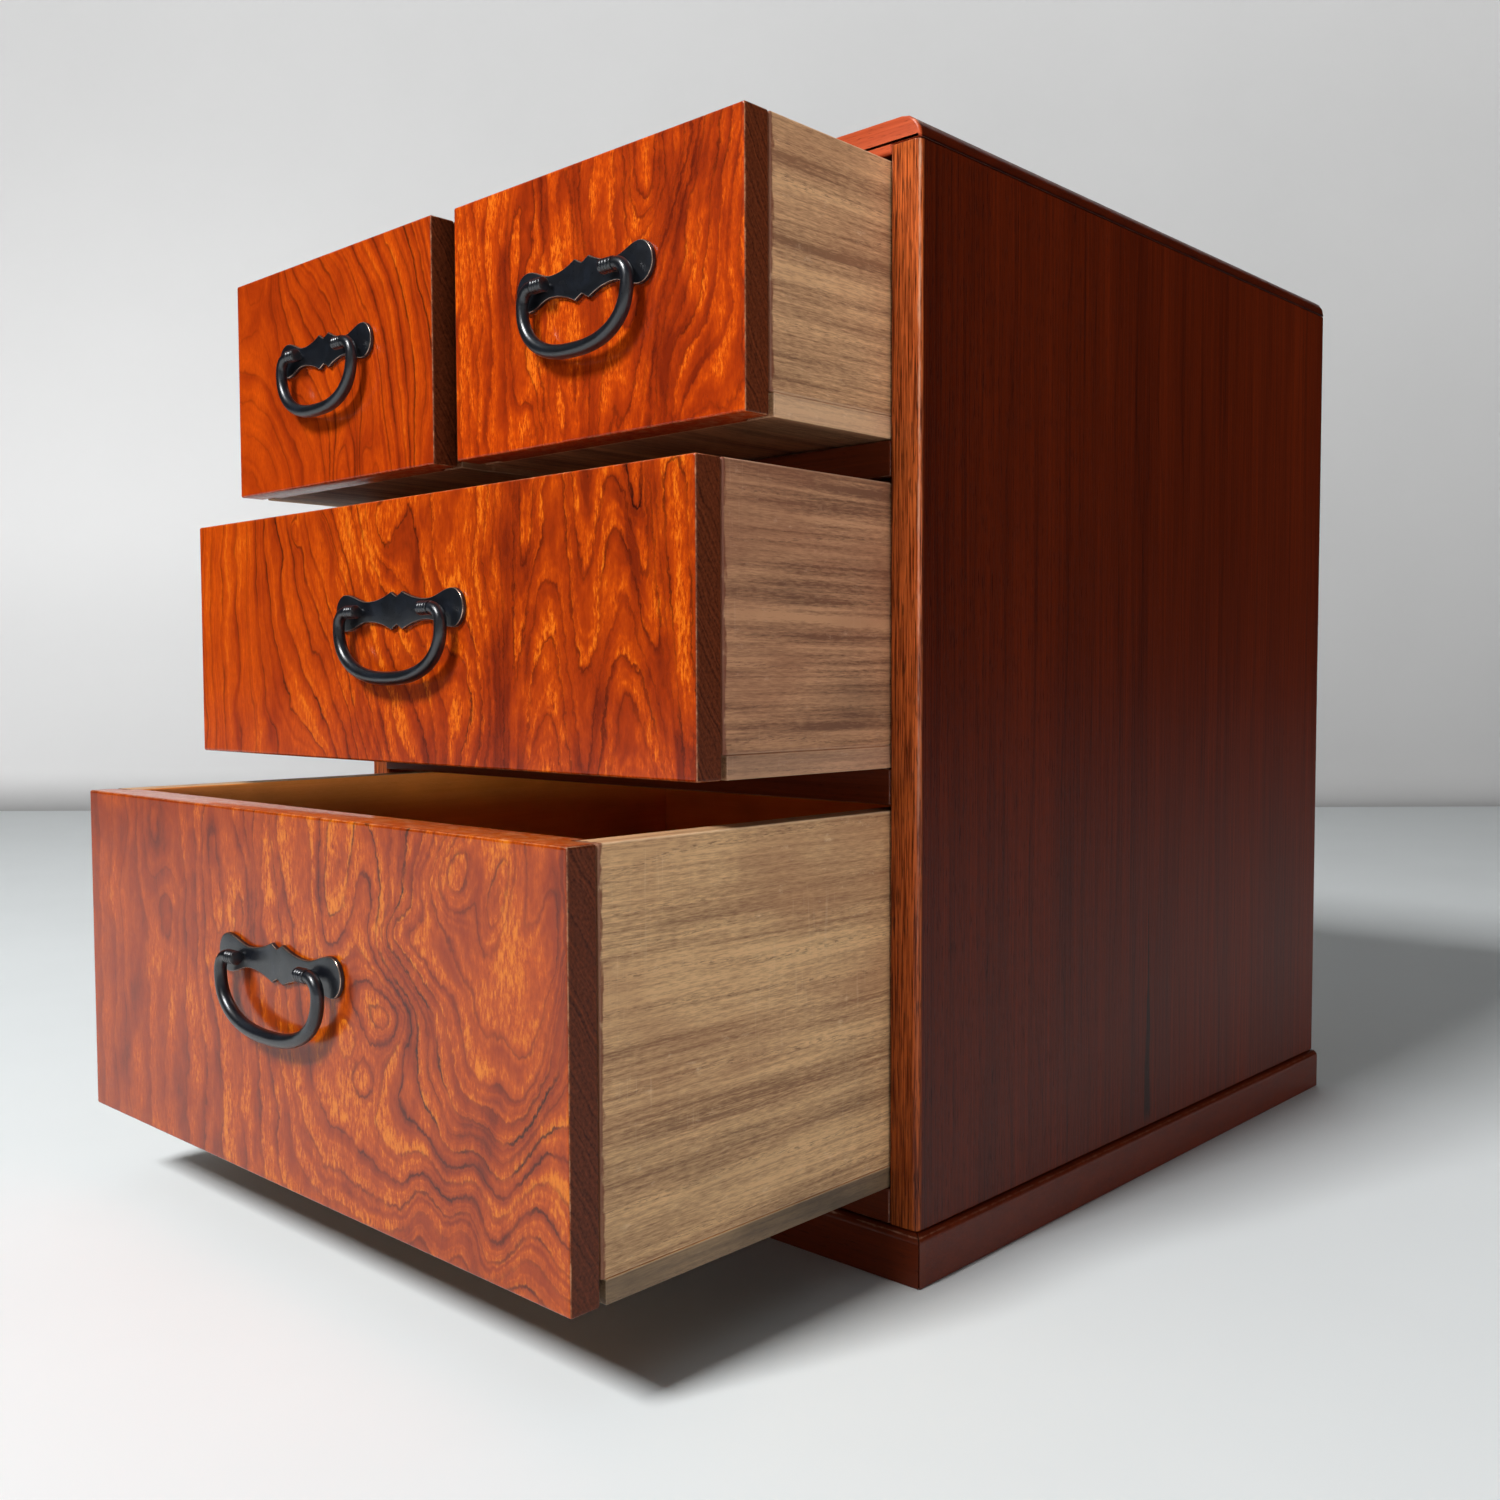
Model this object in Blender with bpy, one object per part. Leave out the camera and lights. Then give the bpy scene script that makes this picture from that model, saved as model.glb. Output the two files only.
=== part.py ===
# Four-drawer tabletop chest in lacquered wood, with iron bail handles on shaped plates.
# Metres. X runs to the right, Y to the back and Z up. The origin is on the floor, mid-width,
# in the plane of the case's front edges. The drawers stand open, each by its own distance.
import math

import bmesh
import bpy

# Gap left between pieces that touch on the real chest
JOINT_GAP = 0.0003

# Case
CASE_WIDTH = 0.303
CASE_DEPTH = 0.306
SIDE_THICKNESS = 0.011
SIDE_ARRIS = 0.0022
SHELF_THICKNESS = 0.0112
DIVIDER_THICKNESS = 0.010
BACK_THICKNESS = 0.006
TOP_THICKNESS = 0.0103
TOP_REBATE = 0.0027
TOP_EDGE_RADIUS = 0.0072
HOUSING_DEPTH = 0.004
HOUSING_SETBACK = 0.012
DIVIDER_TONGUE = 0.003

# Plinth
PLINTH_HEIGHT = 0.0166
PLINTH_WIDTH = 0.022
PLINTH_PROUD = 0.0024
PLINTH_ARRIS = 0.0025

# Drawer fronts, from the top row down, and how far each drawer stands open
TOP_FRONT_HEIGHT = 0.0845
MIDDLE_FRONT_HEIGHT = 0.0886
BOTTOM_FRONT_HEIGHT = 0.1198
TOP_LEFT_DRAWN = 0.0664
TOP_RIGHT_DRAWN = 0.0648
MIDDLE_DRAWN = 0.0844
BOTTOM_DRAWN = 0.130

# Drawer boards and their running clearances in the case
FRONT_THICKNESS = 0.015
FRONT_ARRIS = 0.0008
FRONT_END_RABBET = 0.0051
FRONT_SILL_RABBET = 0.0035
DRAWER_SIDE_THICKNESS = 0.0095
DRAWER_BACK_THICKNESS = 0.008
DRAWER_BOTTOM_THICKNESS = 0.0067
DRAWER_SIDE_CLEARANCE = 0.0005
DRAWER_HEADROOM = 0.0018
DRAWER_BACK_CLEARANCE = 0.001

# Handles: a small size on the top row, a large one below
SMALL_POST_SPACING = 0.0326
LARGE_POST_SPACING = 0.0434
SMALL_BAIL_DROP = 0.0222
LARGE_BAIL_DROP = 0.0226
TOP_HANDLE_RISE = 0.0063
MIDDLE_HANDLE_RISE = 0.0068
BOTTOM_HANDLE_RISE = 0.0122
PLATE_OVERHANG = 0.0155
PLATE_HEIGHT = 0.0127
PLATE_WAIST = 0.007
PLATE_THICKNESS = 0.0013
PLATE_LOBE = 0.006
PLATE_POINT_SPAN = 0.0066
PLATE_NOTCH = 0.0016
POST_STANDOFF = 0.0034
BARREL_DIAMETER = 0.0046
BARREL_LENGTH = 0.0056
BARREL_CAP = 0.001
STEM_DIAMETER = 0.0028
CLINCH_LENGTH = 0.014
CLINCH_THICKNESS = 0.0012
BAIL_DIAMETER = 0.0046
BAIL_END_DIAMETER = 0.004
BAIL_SPLAY = 0.0082
BAIL_SHOULDER_GAP = 0.0004
BAIL_SQUARENESS = 2.4
PIN_DIAMETER = 0.0018
PIN_CLEARANCE = 0.0003

# Facets of the round shapes
ARC_STEPS = 6
ROUND_SIDES = 12
BOW_STEPS = 12
BEND_STEPS = 4

# Colour, roughness and metallic value of each finish
FINISHES = {
    "front lacquer": ((0.46, 0.10, 0.018, 1.0), 0.25, 0.0),
    "case lacquer": ((0.09, 0.026, 0.014, 1.0), 0.35, 0.0),
    "shelf wood": ((0.30, 0.12, 0.04, 1.0), 0.5, 0.0),
    "back wood": ((0.28, 0.18, 0.10, 1.0), 0.7, 0.0),
    "plinth lacquer": ((0.11, 0.03, 0.02, 1.0), 0.35, 0.0),
    "drawer wood": ((0.38, 0.25, 0.14, 1.0), 0.65, 0.0),
    "handle iron": ((0.03, 0.034, 0.042, 1.0), 0.4, 0.85),
}

# Levels of the case, from the floor up, and its inner lines
bottom_board_low = PLINTH_HEIGHT + JOINT_GAP
bottom_board_high = bottom_board_low + SHELF_THICKNESS
bottom_drawer_low = bottom_board_high + JOINT_GAP
lower_shelf_low = bottom_drawer_low + BOTTOM_FRONT_HEIGHT + DRAWER_HEADROOM
lower_shelf_high = lower_shelf_low + SHELF_THICKNESS
middle_drawer_low = lower_shelf_high + JOINT_GAP
upper_shelf_low = middle_drawer_low + MIDDLE_FRONT_HEIGHT + DRAWER_HEADROOM
upper_shelf_high = upper_shelf_low + SHELF_THICKNESS
top_drawer_low = upper_shelf_high + JOINT_GAP
top_low = top_drawer_low + TOP_FRONT_HEIGHT + DRAWER_HEADROOM
case_height = top_low + TOP_THICKNESS
side_high = top_low + TOP_REBATE - JOINT_GAP
case_half = CASE_WIDTH / 2
inner_half = case_half - SIDE_THICKNESS
back_front_face = CASE_DEPTH - BACK_THICKNESS
shelf_rear = back_front_face - JOINT_GAP
plinth_half = case_half + PLINTH_PROUD
bore_radius = PIN_DIAMETER / 2 + PIN_CLEARANCE
stem_hole_radius = STEM_DIAMETER / 2 + JOINT_GAP
OVERCUT = 0.01


def box(low, high):
    # Six-sided block between two corners
    outline = [(low[0], low[1]), (high[0], low[1]), (high[0], high[1]), (low[0], high[1])]
    return prism(outline, "Z", low[2], high[2])


def prism(outline, axis, low, high):
    # Outline in the plane across an axis, carried along that axis from low to high
    order = {
        "X": lambda u, v, w: (w, u, v),
        "Y": lambda u, v, w: (u, w, v),
        "Z": lambda u, v, w: (u, v, w),
    }[axis]
    shape = bmesh.new()
    near = [shape.verts.new(order(u, v, low)) for u, v in outline]
    far = [shape.verts.new(order(u, v, high)) for u, v in outline]
    shape.faces.new(near)
    shape.faces.new(far)
    for index in range(len(outline)):
        after = (index + 1) % len(outline)
        shape.faces.new((near[index], near[after], far[after], far[index]))
    bmesh.ops.recalc_face_normals(shape, faces=shape.faces)
    return shape


def arc(centre, radius, start, stop, steps=ARC_STEPS):
    # Points on a circle between two angles in degrees
    points = []
    for step in range(steps + 1):
        angle = math.radians(start + (stop - start) * step / steps)
        points.append((centre[0] + radius * math.cos(angle), centre[1] + radius * math.sin(angle)))
    return points


def rod(axis, centre, radius, low, high):
    # Round bar along an axis, its centre given in the plane across that axis
    circle = arc(centre, radius, 0, 360, ROUND_SIDES)[:-1]
    return prism(circle, axis, low, high)


def solid(name, shape):
    # Object that holds a finished shape
    mesh = bpy.data.meshes.new(name)
    shape.to_mesh(mesh)
    shape.free()
    item = bpy.data.objects.new(name, mesh)
    bpy.context.collection.objects.link(item)
    return item


def combine(item, shapes, operation):
    # Cut shapes out of an object, or join them to it, and keep the result as its mesh
    tools = [solid(item.name + "_tool", shape) for shape in shapes]
    for tool in tools:
        modifier = item.modifiers.new("combine", "BOOLEAN")
        modifier.operation = operation
        modifier.solver = "EXACT"
        modifier.object = tool
    graph = bpy.context.evaluated_depsgraph_get()
    result = bpy.data.meshes.new_from_object(item.evaluated_get(graph))
    item.modifiers.clear()
    item.data = result
    for tool in tools:
        bpy.data.objects.remove(tool)


def finish(item, kind, parent=None, place=(0, 0, 0), is_round=False):
    # Give an object its own material, its parent and its place
    colour, roughness, metallic = FINISHES[kind]
    material = bpy.data.materials.new(item.name + "_finish")
    material.use_nodes = True
    shader = material.node_tree.nodes["Principled BSDF"]
    shader.inputs["Base Color"].default_value = colour
    shader.inputs["Roughness"].default_value = roughness
    shader.inputs["Metallic"].default_value = metallic
    item.data.materials.clear()
    item.data.materials.append(material)
    if is_round:
        item.data.shade_smooth()
        item.data.set_sharp_from_angle(angle=math.radians(40))
    item.parent = parent
    item.location = place
    return item


def shelf_housing(side, low, high):
    # Stopped groove in a side board's inner face; side is -1 on the left and 1 on the right
    inner = side * (inner_half - OVERCUT)
    deep = side * (inner_half + HOUSING_DEPTH)
    near = min(inner, deep)
    far = max(inner, deep)
    return box((near, HOUSING_SETBACK - JOINT_GAP, low), (far, CASE_DEPTH + OVERCUT, high))


def side_board(name, side):
    # Upright board with a rounded front arris, a rebate for the back and a housing for each shelf
    corner = arc((case_half - SIDE_ARRIS, SIDE_ARRIS), SIDE_ARRIS, -90, 0)
    rebate_x = inner_half + HOUSING_DEPTH
    rebate_y = back_front_face - JOINT_GAP
    outline = [(inner_half, 0)] + corner + [(case_half, CASE_DEPTH), (rebate_x, CASE_DEPTH)]
    outline += [(rebate_x, rebate_y), (inner_half, rebate_y)]
    outline = [(side * x, y) for x, y in outline]
    item = solid(name, prism(outline, "Z", bottom_board_low, side_high))
    housings = [
        shelf_housing(side, bottom_board_low - OVERCUT, bottom_board_high + JOINT_GAP),
        shelf_housing(side, lower_shelf_low - JOINT_GAP, lower_shelf_high + JOINT_GAP),
        shelf_housing(side, upper_shelf_low - JOINT_GAP, upper_shelf_high + JOINT_GAP),
    ]
    combine(item, housings, "DIFFERENCE")
    return finish(item, "case lacquer")


def shelf_board(name, low, high):
    # Level board whose ends sit in the side housings, behind a shoulder at the front
    shoulder = inner_half - JOINT_GAP
    tongue = inner_half + HOUSING_DEPTH - JOINT_GAP
    right = [(shoulder, 0), (shoulder, HOUSING_SETBACK), (tongue, HOUSING_SETBACK), (tongue, shelf_rear)]
    left = [(-x, y) for x, y in reversed(right)]
    return solid(name, prism(right + left, "Z", low, high))


def divider_groove(low, high):
    # Stopped groove for the tongue of the upright between the top drawers
    half = DIVIDER_THICKNESS / 2 + JOINT_GAP
    return box((-half, HOUSING_SETBACK - JOINT_GAP, low), (half, shelf_rear + JOINT_GAP, high))


def shelves():
    finish(shelf_board("bottom_board", bottom_board_low, bottom_board_high), "shelf wood")
    finish(shelf_board("lower_shelf", lower_shelf_low, lower_shelf_high), "shelf wood")
    upper = shelf_board("upper_shelf", upper_shelf_low, upper_shelf_high)
    combine(upper, [divider_groove(upper_shelf_high - DIVIDER_TONGUE, upper_shelf_high + OVERCUT)], "DIFFERENCE")
    finish(upper, "shelf wood")


def divider():
    # Upright between the top drawers, with a tongue into the shelf below and the top above
    low = upper_shelf_high + JOINT_GAP
    high = top_low - JOINT_GAP
    outline = [(0, low), (HOUSING_SETBACK, low), (HOUSING_SETBACK, low - DIVIDER_TONGUE)]
    outline += [(shelf_rear, low - DIVIDER_TONGUE), (shelf_rear, high + DIVIDER_TONGUE)]
    outline += [(HOUSING_SETBACK, high + DIVIDER_TONGUE), (HOUSING_SETBACK, high), (0, high)]
    half = DIVIDER_THICKNESS / 2
    finish(solid("top_row_divider", prism(outline, "X", -half, half)), "shelf wood")


def top_board():
    # Top with rounded left and right edges, rebated at its ends to lie over the sides
    lap_low = top_low + TOP_REBATE
    radius = min(TOP_EDGE_RADIUS, case_height - lap_low)
    step = inner_half - JOINT_GAP
    right = [(step, top_low), (step, lap_low), (case_half, lap_low)]
    right += arc((case_half - radius, case_height - radius), radius, 0, 90)
    left = [(-x, z) for x, z in reversed(right)]
    item = solid("top_board", prism(right + left, "Y", 0, CASE_DEPTH))
    combine(item, [divider_groove(top_low - OVERCUT, top_low + DIVIDER_TONGUE)], "DIFFERENCE")
    finish(item, "case lacquer")


def back_panel():
    half = inner_half + HOUSING_DEPTH - JOINT_GAP
    low = (-half, back_front_face, bottom_board_low)
    high = (half, CASE_DEPTH, top_low - JOINT_GAP)
    finish(solid("back_panel", box(low, high)), "back wood")


def rail_section():
    # Plinth rail's section as (distance in from the outer face, height), its top arris rounded
    arris = arc((PLINTH_ARRIS, PLINTH_HEIGHT - PLINTH_ARRIS), PLINTH_ARRIS, 180, 90)
    return [(0, 0)] + arris + [(PLINTH_WIDTH, PLINTH_HEIGHT), (PLINTH_WIDTH, 0)]


def bridge(near, far):
    # Closed shape between two outlines with the same number of points
    shape = bmesh.new()
    first = [shape.verts.new(point) for point in near]
    last = [shape.verts.new(point) for point in far]
    shape.faces.new(first)
    shape.faces.new(last)
    for index in range(len(first)):
        after = (index + 1) % len(first)
        shape.faces.new((first[index], first[after], last[after], last[index]))
    bmesh.ops.recalc_face_normals(shape, faces=shape.faces)
    return shape


def plinth():
    # Front rail mitred into the two side rails, and a rear rail between them
    mitre_gap = JOINT_GAP * math.sqrt(0.5)
    front = -PLINTH_PROUD
    section = rail_section()
    left_end = [(-plinth_half + d + mitre_gap, front + d, z) for d, z in section]
    right_end = [(-x, y, z) for x, y, z in left_end]
    finish(solid("front_plinth_rail", bridge(left_end, right_end)), "plinth lacquer")
    for name, side in (("left_plinth_rail", -1), ("right_plinth_rail", 1)):
        front_end = [(side * (plinth_half - d), front + d + mitre_gap, z) for d, z in section]
        rear_end = [(x, CASE_DEPTH, z) for x, y, z in front_end]
        finish(solid(name, bridge(front_end, rear_end)), "plinth lacquer")
    half = plinth_half - PLINTH_WIDTH - JOINT_GAP
    low = (-half, CASE_DEPTH - PLINTH_WIDTH, 0)
    finish(solid("rear_plinth_rail", box(low, (half, CASE_DEPTH, PLINTH_HEIGHT))), "plinth lacquer")


def drawer_front(name, width, height, post_x, pivot_z, parent):
    # Thick front, rebated at the back for the sides and the bottom, and bored for the handle posts
    half = width / 2
    shape = box((-half, 0, 0), (half, FRONT_THICKNESS, height))
    face_edges = [edge for edge in shape.edges if all(corner.co.y == 0 for corner in edge.verts)]
    bmesh.ops.bevel(shape, geom=face_edges, offset=FRONT_ARRIS, segments=2, profile=0.5, affect="EDGES")
    item = solid(name, shape)
    end_y = FRONT_THICKNESS - FRONT_END_RABBET
    sill_y = FRONT_THICKNESS - FRONT_SILL_RABBET
    rear_y = FRONT_THICKNESS + OVERCUT
    end_x = half - DRAWER_SIDE_THICKNESS - JOINT_GAP
    sill_z = DRAWER_BOTTOM_THICKNESS + JOINT_GAP
    wide = half + OVERCUT
    cuts = [
        box((-wide, sill_y, -OVERCUT), (wide, rear_y, sill_z)),
        box((end_x, end_y, sill_z - JOINT_GAP), (wide, rear_y, height + OVERCUT)),
        box((-wide, end_y, sill_z - JOINT_GAP), (-end_x, rear_y, height + OVERCUT)),
    ]
    for side in (-1, 1):
        cuts.append(rod("Y", (side * post_x, pivot_z), stem_hole_radius, -OVERCUT, rear_y))
    combine(item, cuts, "DIFFERENCE")
    finish(item, "front lacquer", parent)


def drawer_box(name, width, height, parent):
    # Two sides and a back standing on a bottom board that shows below the sides
    half = width / 2
    rear = back_front_face - DRAWER_BACK_CLEARANCE
    wall_low = DRAWER_BOTTOM_THICKNESS + JOINT_GAP
    side_front = FRONT_THICKNESS - FRONT_END_RABBET + JOINT_GAP
    bottom_front = FRONT_THICKNESS - FRONT_SILL_RABBET + JOINT_GAP
    inside = half - DRAWER_SIDE_THICKNESS
    right = box((inside, side_front, wall_low), (half, rear, height))
    finish(solid(name + "_right_side", right), "drawer wood", parent)
    left = box((-half, side_front, wall_low), (-inside, rear, height))
    finish(solid(name + "_left_side", left), "drawer wood", parent)
    end = inside - JOINT_GAP
    back = box((-end, rear - DRAWER_BACK_THICKNESS, wall_low), (end, rear, height))
    finish(solid(name + "_back", back), "drawer wood", parent)
    bottom = box((-half, bottom_front, 0), (half, rear, DRAWER_BOTTOM_THICKNESS))
    finish(solid(name + "_bottom", bottom), "drawer wood", parent)


def plate_outline(post_x):
    # Bat-shaped plate: a notched pair of points in the middle, a waist, and a round lobe at each end
    tall = PLATE_HEIGHT / 2
    waist = PLATE_WAIST / 2
    point_x = PLATE_POINT_SPAN / 2
    lobe_x = post_x + PLATE_OVERHANG - PLATE_LOBE
    upper = [(0, tall - PLATE_NOTCH)]
    steps = 2 * ARC_STEPS
    for step in range(steps):
        share = step / steps
        swell = (1 - 2 * share) ** 2 if share < 0.5 else math.cos(math.pi * share) ** 2
        upper.append((point_x + (lobe_x - point_x) * share, waist + (tall - waist) * swell))
    lobe = arc((0, 0), 1, 90, 0)
    upper += [(lobe_x + PLATE_LOBE * x, tall * z) for x, z in lobe]
    right = upper + [(x, -z) for x, z in reversed(upper[:-1])]
    left = [(-x, z) for x, z in reversed(right[1:-1])]
    return right + left


def handle_plate(name, post_x, pivot_z, parent):
    outline = [(x, pivot_z + z) for x, z in plate_outline(post_x)]
    item = solid(name, prism(outline, "Y", -JOINT_GAP - PLATE_THICKNESS, -JOINT_GAP))
    holes = [rod("Y", (side * post_x, pivot_z), stem_hole_radius, -OVERCUT, OVERCUT) for side in (-1, 1)]
    combine(item, holes, "DIFFERENCE")
    finish(item, "handle iron", parent)


def handle_post(name, side, post_x, axis_y, pivot_z, parent):
    # Barrel for the bail's pin on a stem through plate and front, its legs clinched up and down inside
    barrel_radius = BARREL_DIAMETER / 2
    outer = side * BARREL_LENGTH / 2
    item = solid(name, rod("X", (0, 0), barrel_radius, -BARREL_LENGTH / 2, BARREL_LENGTH / 2))
    bore_end = -side * (BARREL_LENGTH / 2 - BARREL_CAP)
    mouth = outer + side * OVERCUT
    bore = rod("X", (0, 0), bore_radius, min(bore_end, mouth), max(bore_end, mouth))
    combine(item, [bore], "DIFFERENCE")
    inside_y = FRONT_THICKNESS + JOINT_GAP - axis_y
    stem_start = (bore_radius + barrel_radius) / 2
    stem = rod("Y", (0, 0), STEM_DIAMETER / 2, stem_start, inside_y + CLINCH_THICKNESS / 2)
    leg_half = STEM_DIAMETER / 2 + JOINT_GAP
    leg_low = (-leg_half, inside_y, -CLINCH_LENGTH / 2)
    leg = box(leg_low, (leg_half, inside_y + CLINCH_THICKNESS, CLINCH_LENGTH / 2))
    combine(item, [stem, leg], "UNION")
    finish(item, "handle iron", parent, (side * post_x, axis_y, pivot_z), is_round=True)


def bail_line(post_x, drop):
    # Half of the bail from the bottom up to the pin's tip, as (x, z, radius) about the pivot axis
    arm_x = post_x + BAIL_SPLAY
    shoulder = post_x + BARREL_LENGTH / 2 + BAIL_SHOULDER_GAP
    tip = post_x - BARREL_LENGTH / 2 + BARREL_CAP + PIN_CLEARANCE
    bend = arm_x - shoulder
    thick = BAIL_DIAMETER / 2
    thin = BAIL_END_DIAMETER / 2
    pin = PIN_DIAMETER / 2
    power = 2 / BAIL_SQUARENESS
    line = []
    for step in range(BOW_STEPS + 1):
        angle = math.pi / 2 * step / BOW_STEPS
        x = arm_x * math.sin(angle) ** power
        z = -bend - (drop - bend) * abs(math.cos(angle)) ** power
        line.append((x, z, thick + (thin - thick) * (step / BOW_STEPS) ** 2))
    for x, z in arc((arm_x - bend, -bend), bend, 0, 90, BEND_STEPS)[1:]:
        line.append((x, z, thin))
    line.append((shoulder - BAIL_SHOULDER_GAP / 2, 0, pin))
    line.append((tip, 0, pin))
    return line


def bail(name, post_x, drop, axis_y, pivot_z, parent):
    # Round bar swept along the bail's line, tapering to the pins that turn in the posts
    right = bail_line(post_x, drop)
    line = [(-x, z, radius) for x, z, radius in reversed(right[1:])] + right
    shape = bmesh.new()
    rings = []
    for index, (x, z, radius) in enumerate(line):
        before = line[max(index - 1, 0)]
        after = line[min(index + 1, len(line) - 1)]
        run = math.hypot(after[0] - before[0], after[1] - before[1])
        across = ((before[1] - after[1]) / run, (after[0] - before[0]) / run)
        ring = []
        for out, deep in arc((0, 0), radius, 0, 360, ROUND_SIDES)[:-1]:
            ring.append(shape.verts.new((x + out * across[0], deep, z + out * across[1])))
        rings.append(ring)
    for near, far in zip(rings, rings[1:]):
        for side in range(ROUND_SIDES):
            after = (side + 1) % ROUND_SIDES
            shape.faces.new((near[side], near[after], far[after], far[side]))
    shape.faces.new(rings[0])
    shape.faces.new(rings[-1])
    bmesh.ops.recalc_face_normals(shape, faces=shape.faces)
    finish(solid(name, shape), "handle iron", parent, (0, axis_y, pivot_z), is_round=True)


def drawer(name, centre_x, width, low, height, drawn, post_spacing, drop, rise):
    # One drawer with its handle, on an empty at the foot of its front face
    runner = bpy.data.objects.new(name + "_slide", None)
    bpy.context.collection.objects.link(runner)
    runner.location = (centre_x, -drawn, low)
    post_x = post_spacing / 2
    pivot_z = height / 2 + rise
    axis_y = -JOINT_GAP - PLATE_THICKNESS - POST_STANDOFF
    drawer_front(name + "_front", width, height, post_x, pivot_z, runner)
    drawer_box(name, width, height, runner)
    handle_plate(name + "_handle_plate", post_x, pivot_z, runner)
    handle_post(name + "_left_handle_post", -1, post_x, axis_y, pivot_z, runner)
    handle_post(name + "_right_handle_post", 1, post_x, axis_y, pivot_z, runner)
    bail(name + "_bail", post_x, drop, axis_y, pivot_z, runner)


def drawers():
    full_width = 2 * (inner_half - DRAWER_SIDE_CLEARANCE)
    half_inner = DIVIDER_THICKNESS / 2 + DRAWER_SIDE_CLEARANCE
    half_outer = inner_half - DRAWER_SIDE_CLEARANCE
    half_width = half_outer - half_inner
    half_centre = (half_inner + half_outer) / 2
    small = (SMALL_POST_SPACING, SMALL_BAIL_DROP, TOP_HANDLE_RISE)
    drawer("top_left_drawer", -half_centre, half_width, top_drawer_low, TOP_FRONT_HEIGHT, TOP_LEFT_DRAWN, *small)
    drawer("top_right_drawer", half_centre, half_width, top_drawer_low, TOP_FRONT_HEIGHT, TOP_RIGHT_DRAWN, *small)
    drawer("middle_drawer", 0, full_width, middle_drawer_low, MIDDLE_FRONT_HEIGHT, MIDDLE_DRAWN,
           LARGE_POST_SPACING, LARGE_BAIL_DROP, MIDDLE_HANDLE_RISE)
    drawer("bottom_drawer", 0, full_width, bottom_drawer_low, BOTTOM_FRONT_HEIGHT, BOTTOM_DRAWN,
           LARGE_POST_SPACING, LARGE_BAIL_DROP, BOTTOM_HANDLE_RISE)


for old in list(bpy.data.objects):
    bpy.data.objects.remove(old)

side_board("left_side_board", -1)
side_board("right_side_board", 1)
shelves()
divider()
top_board()
back_panel()
plinth()
drawers()
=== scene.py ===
import math
import bpy
import numpy as np
from mathutils import Matrix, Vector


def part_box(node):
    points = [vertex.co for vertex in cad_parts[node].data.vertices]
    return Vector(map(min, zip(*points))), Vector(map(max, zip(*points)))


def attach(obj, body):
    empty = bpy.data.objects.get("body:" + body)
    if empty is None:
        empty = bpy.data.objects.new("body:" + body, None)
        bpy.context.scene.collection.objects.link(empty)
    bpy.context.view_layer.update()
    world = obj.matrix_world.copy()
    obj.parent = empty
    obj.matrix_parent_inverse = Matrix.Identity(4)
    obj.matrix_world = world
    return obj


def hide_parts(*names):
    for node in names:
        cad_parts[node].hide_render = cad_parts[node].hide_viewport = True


# A small tabletop chest in lacquered figured wood, its four drawers drawn out by different distances.
# Metres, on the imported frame: X to the right, Y to the back, Z up, and every piece stays on its CAD node.
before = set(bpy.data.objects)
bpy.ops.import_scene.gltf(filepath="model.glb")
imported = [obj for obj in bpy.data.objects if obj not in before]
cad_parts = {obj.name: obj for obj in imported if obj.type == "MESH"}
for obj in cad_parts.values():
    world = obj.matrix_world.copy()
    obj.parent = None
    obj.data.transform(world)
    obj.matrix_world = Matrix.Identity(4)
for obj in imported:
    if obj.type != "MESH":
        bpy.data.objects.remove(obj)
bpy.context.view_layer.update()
print("frame loaded:", len(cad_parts), "nodes")

mm = 0.001
arcSteps = 4  # facets of a rounded arris
guardGap = 0.25 * mm  # flat strip beside it, so that the flats shade flat
leastRadius = 0.01 * mm
sharpAngle = math.radians(38)  # edges that bend more stay sharp
drawerNames = ("top_left", "top_right", "middle", "bottom")


# The piece of the node left_side_board is leftSideBoard
def pieceName(node):
    first, *rest = node.split("_")
    return first + "".join(word.capitalize() for word in rest)


def boxOf(node):
    low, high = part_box(node)
    return np.array(low), np.array(high)


def unit(vector):
    return vector / np.linalg.norm(vector, axis=-1, keepdims=True)


# angles from 0 to 90 degrees
def quarter(count):
    return np.linspace(0, math.pi / 2, count)


def rectangle(low, high):
    return [(low[0], low[1]), (high[0], low[1]), (high[0], high[1]), (low[0], high[1])]


def meshItem(name, points, faces, finish):
    mesh = bpy.data.meshes.new(name)
    mesh.from_pydata(points.tolist(), [], faces)
    mesh.polygons.foreach_set("use_smooth", np.ones(len(faces), bool))
    mesh.materials.append(finish)
    item = bpy.data.objects.new(name, mesh)
    bpy.context.collection.objects.link(item)
    return item


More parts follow.
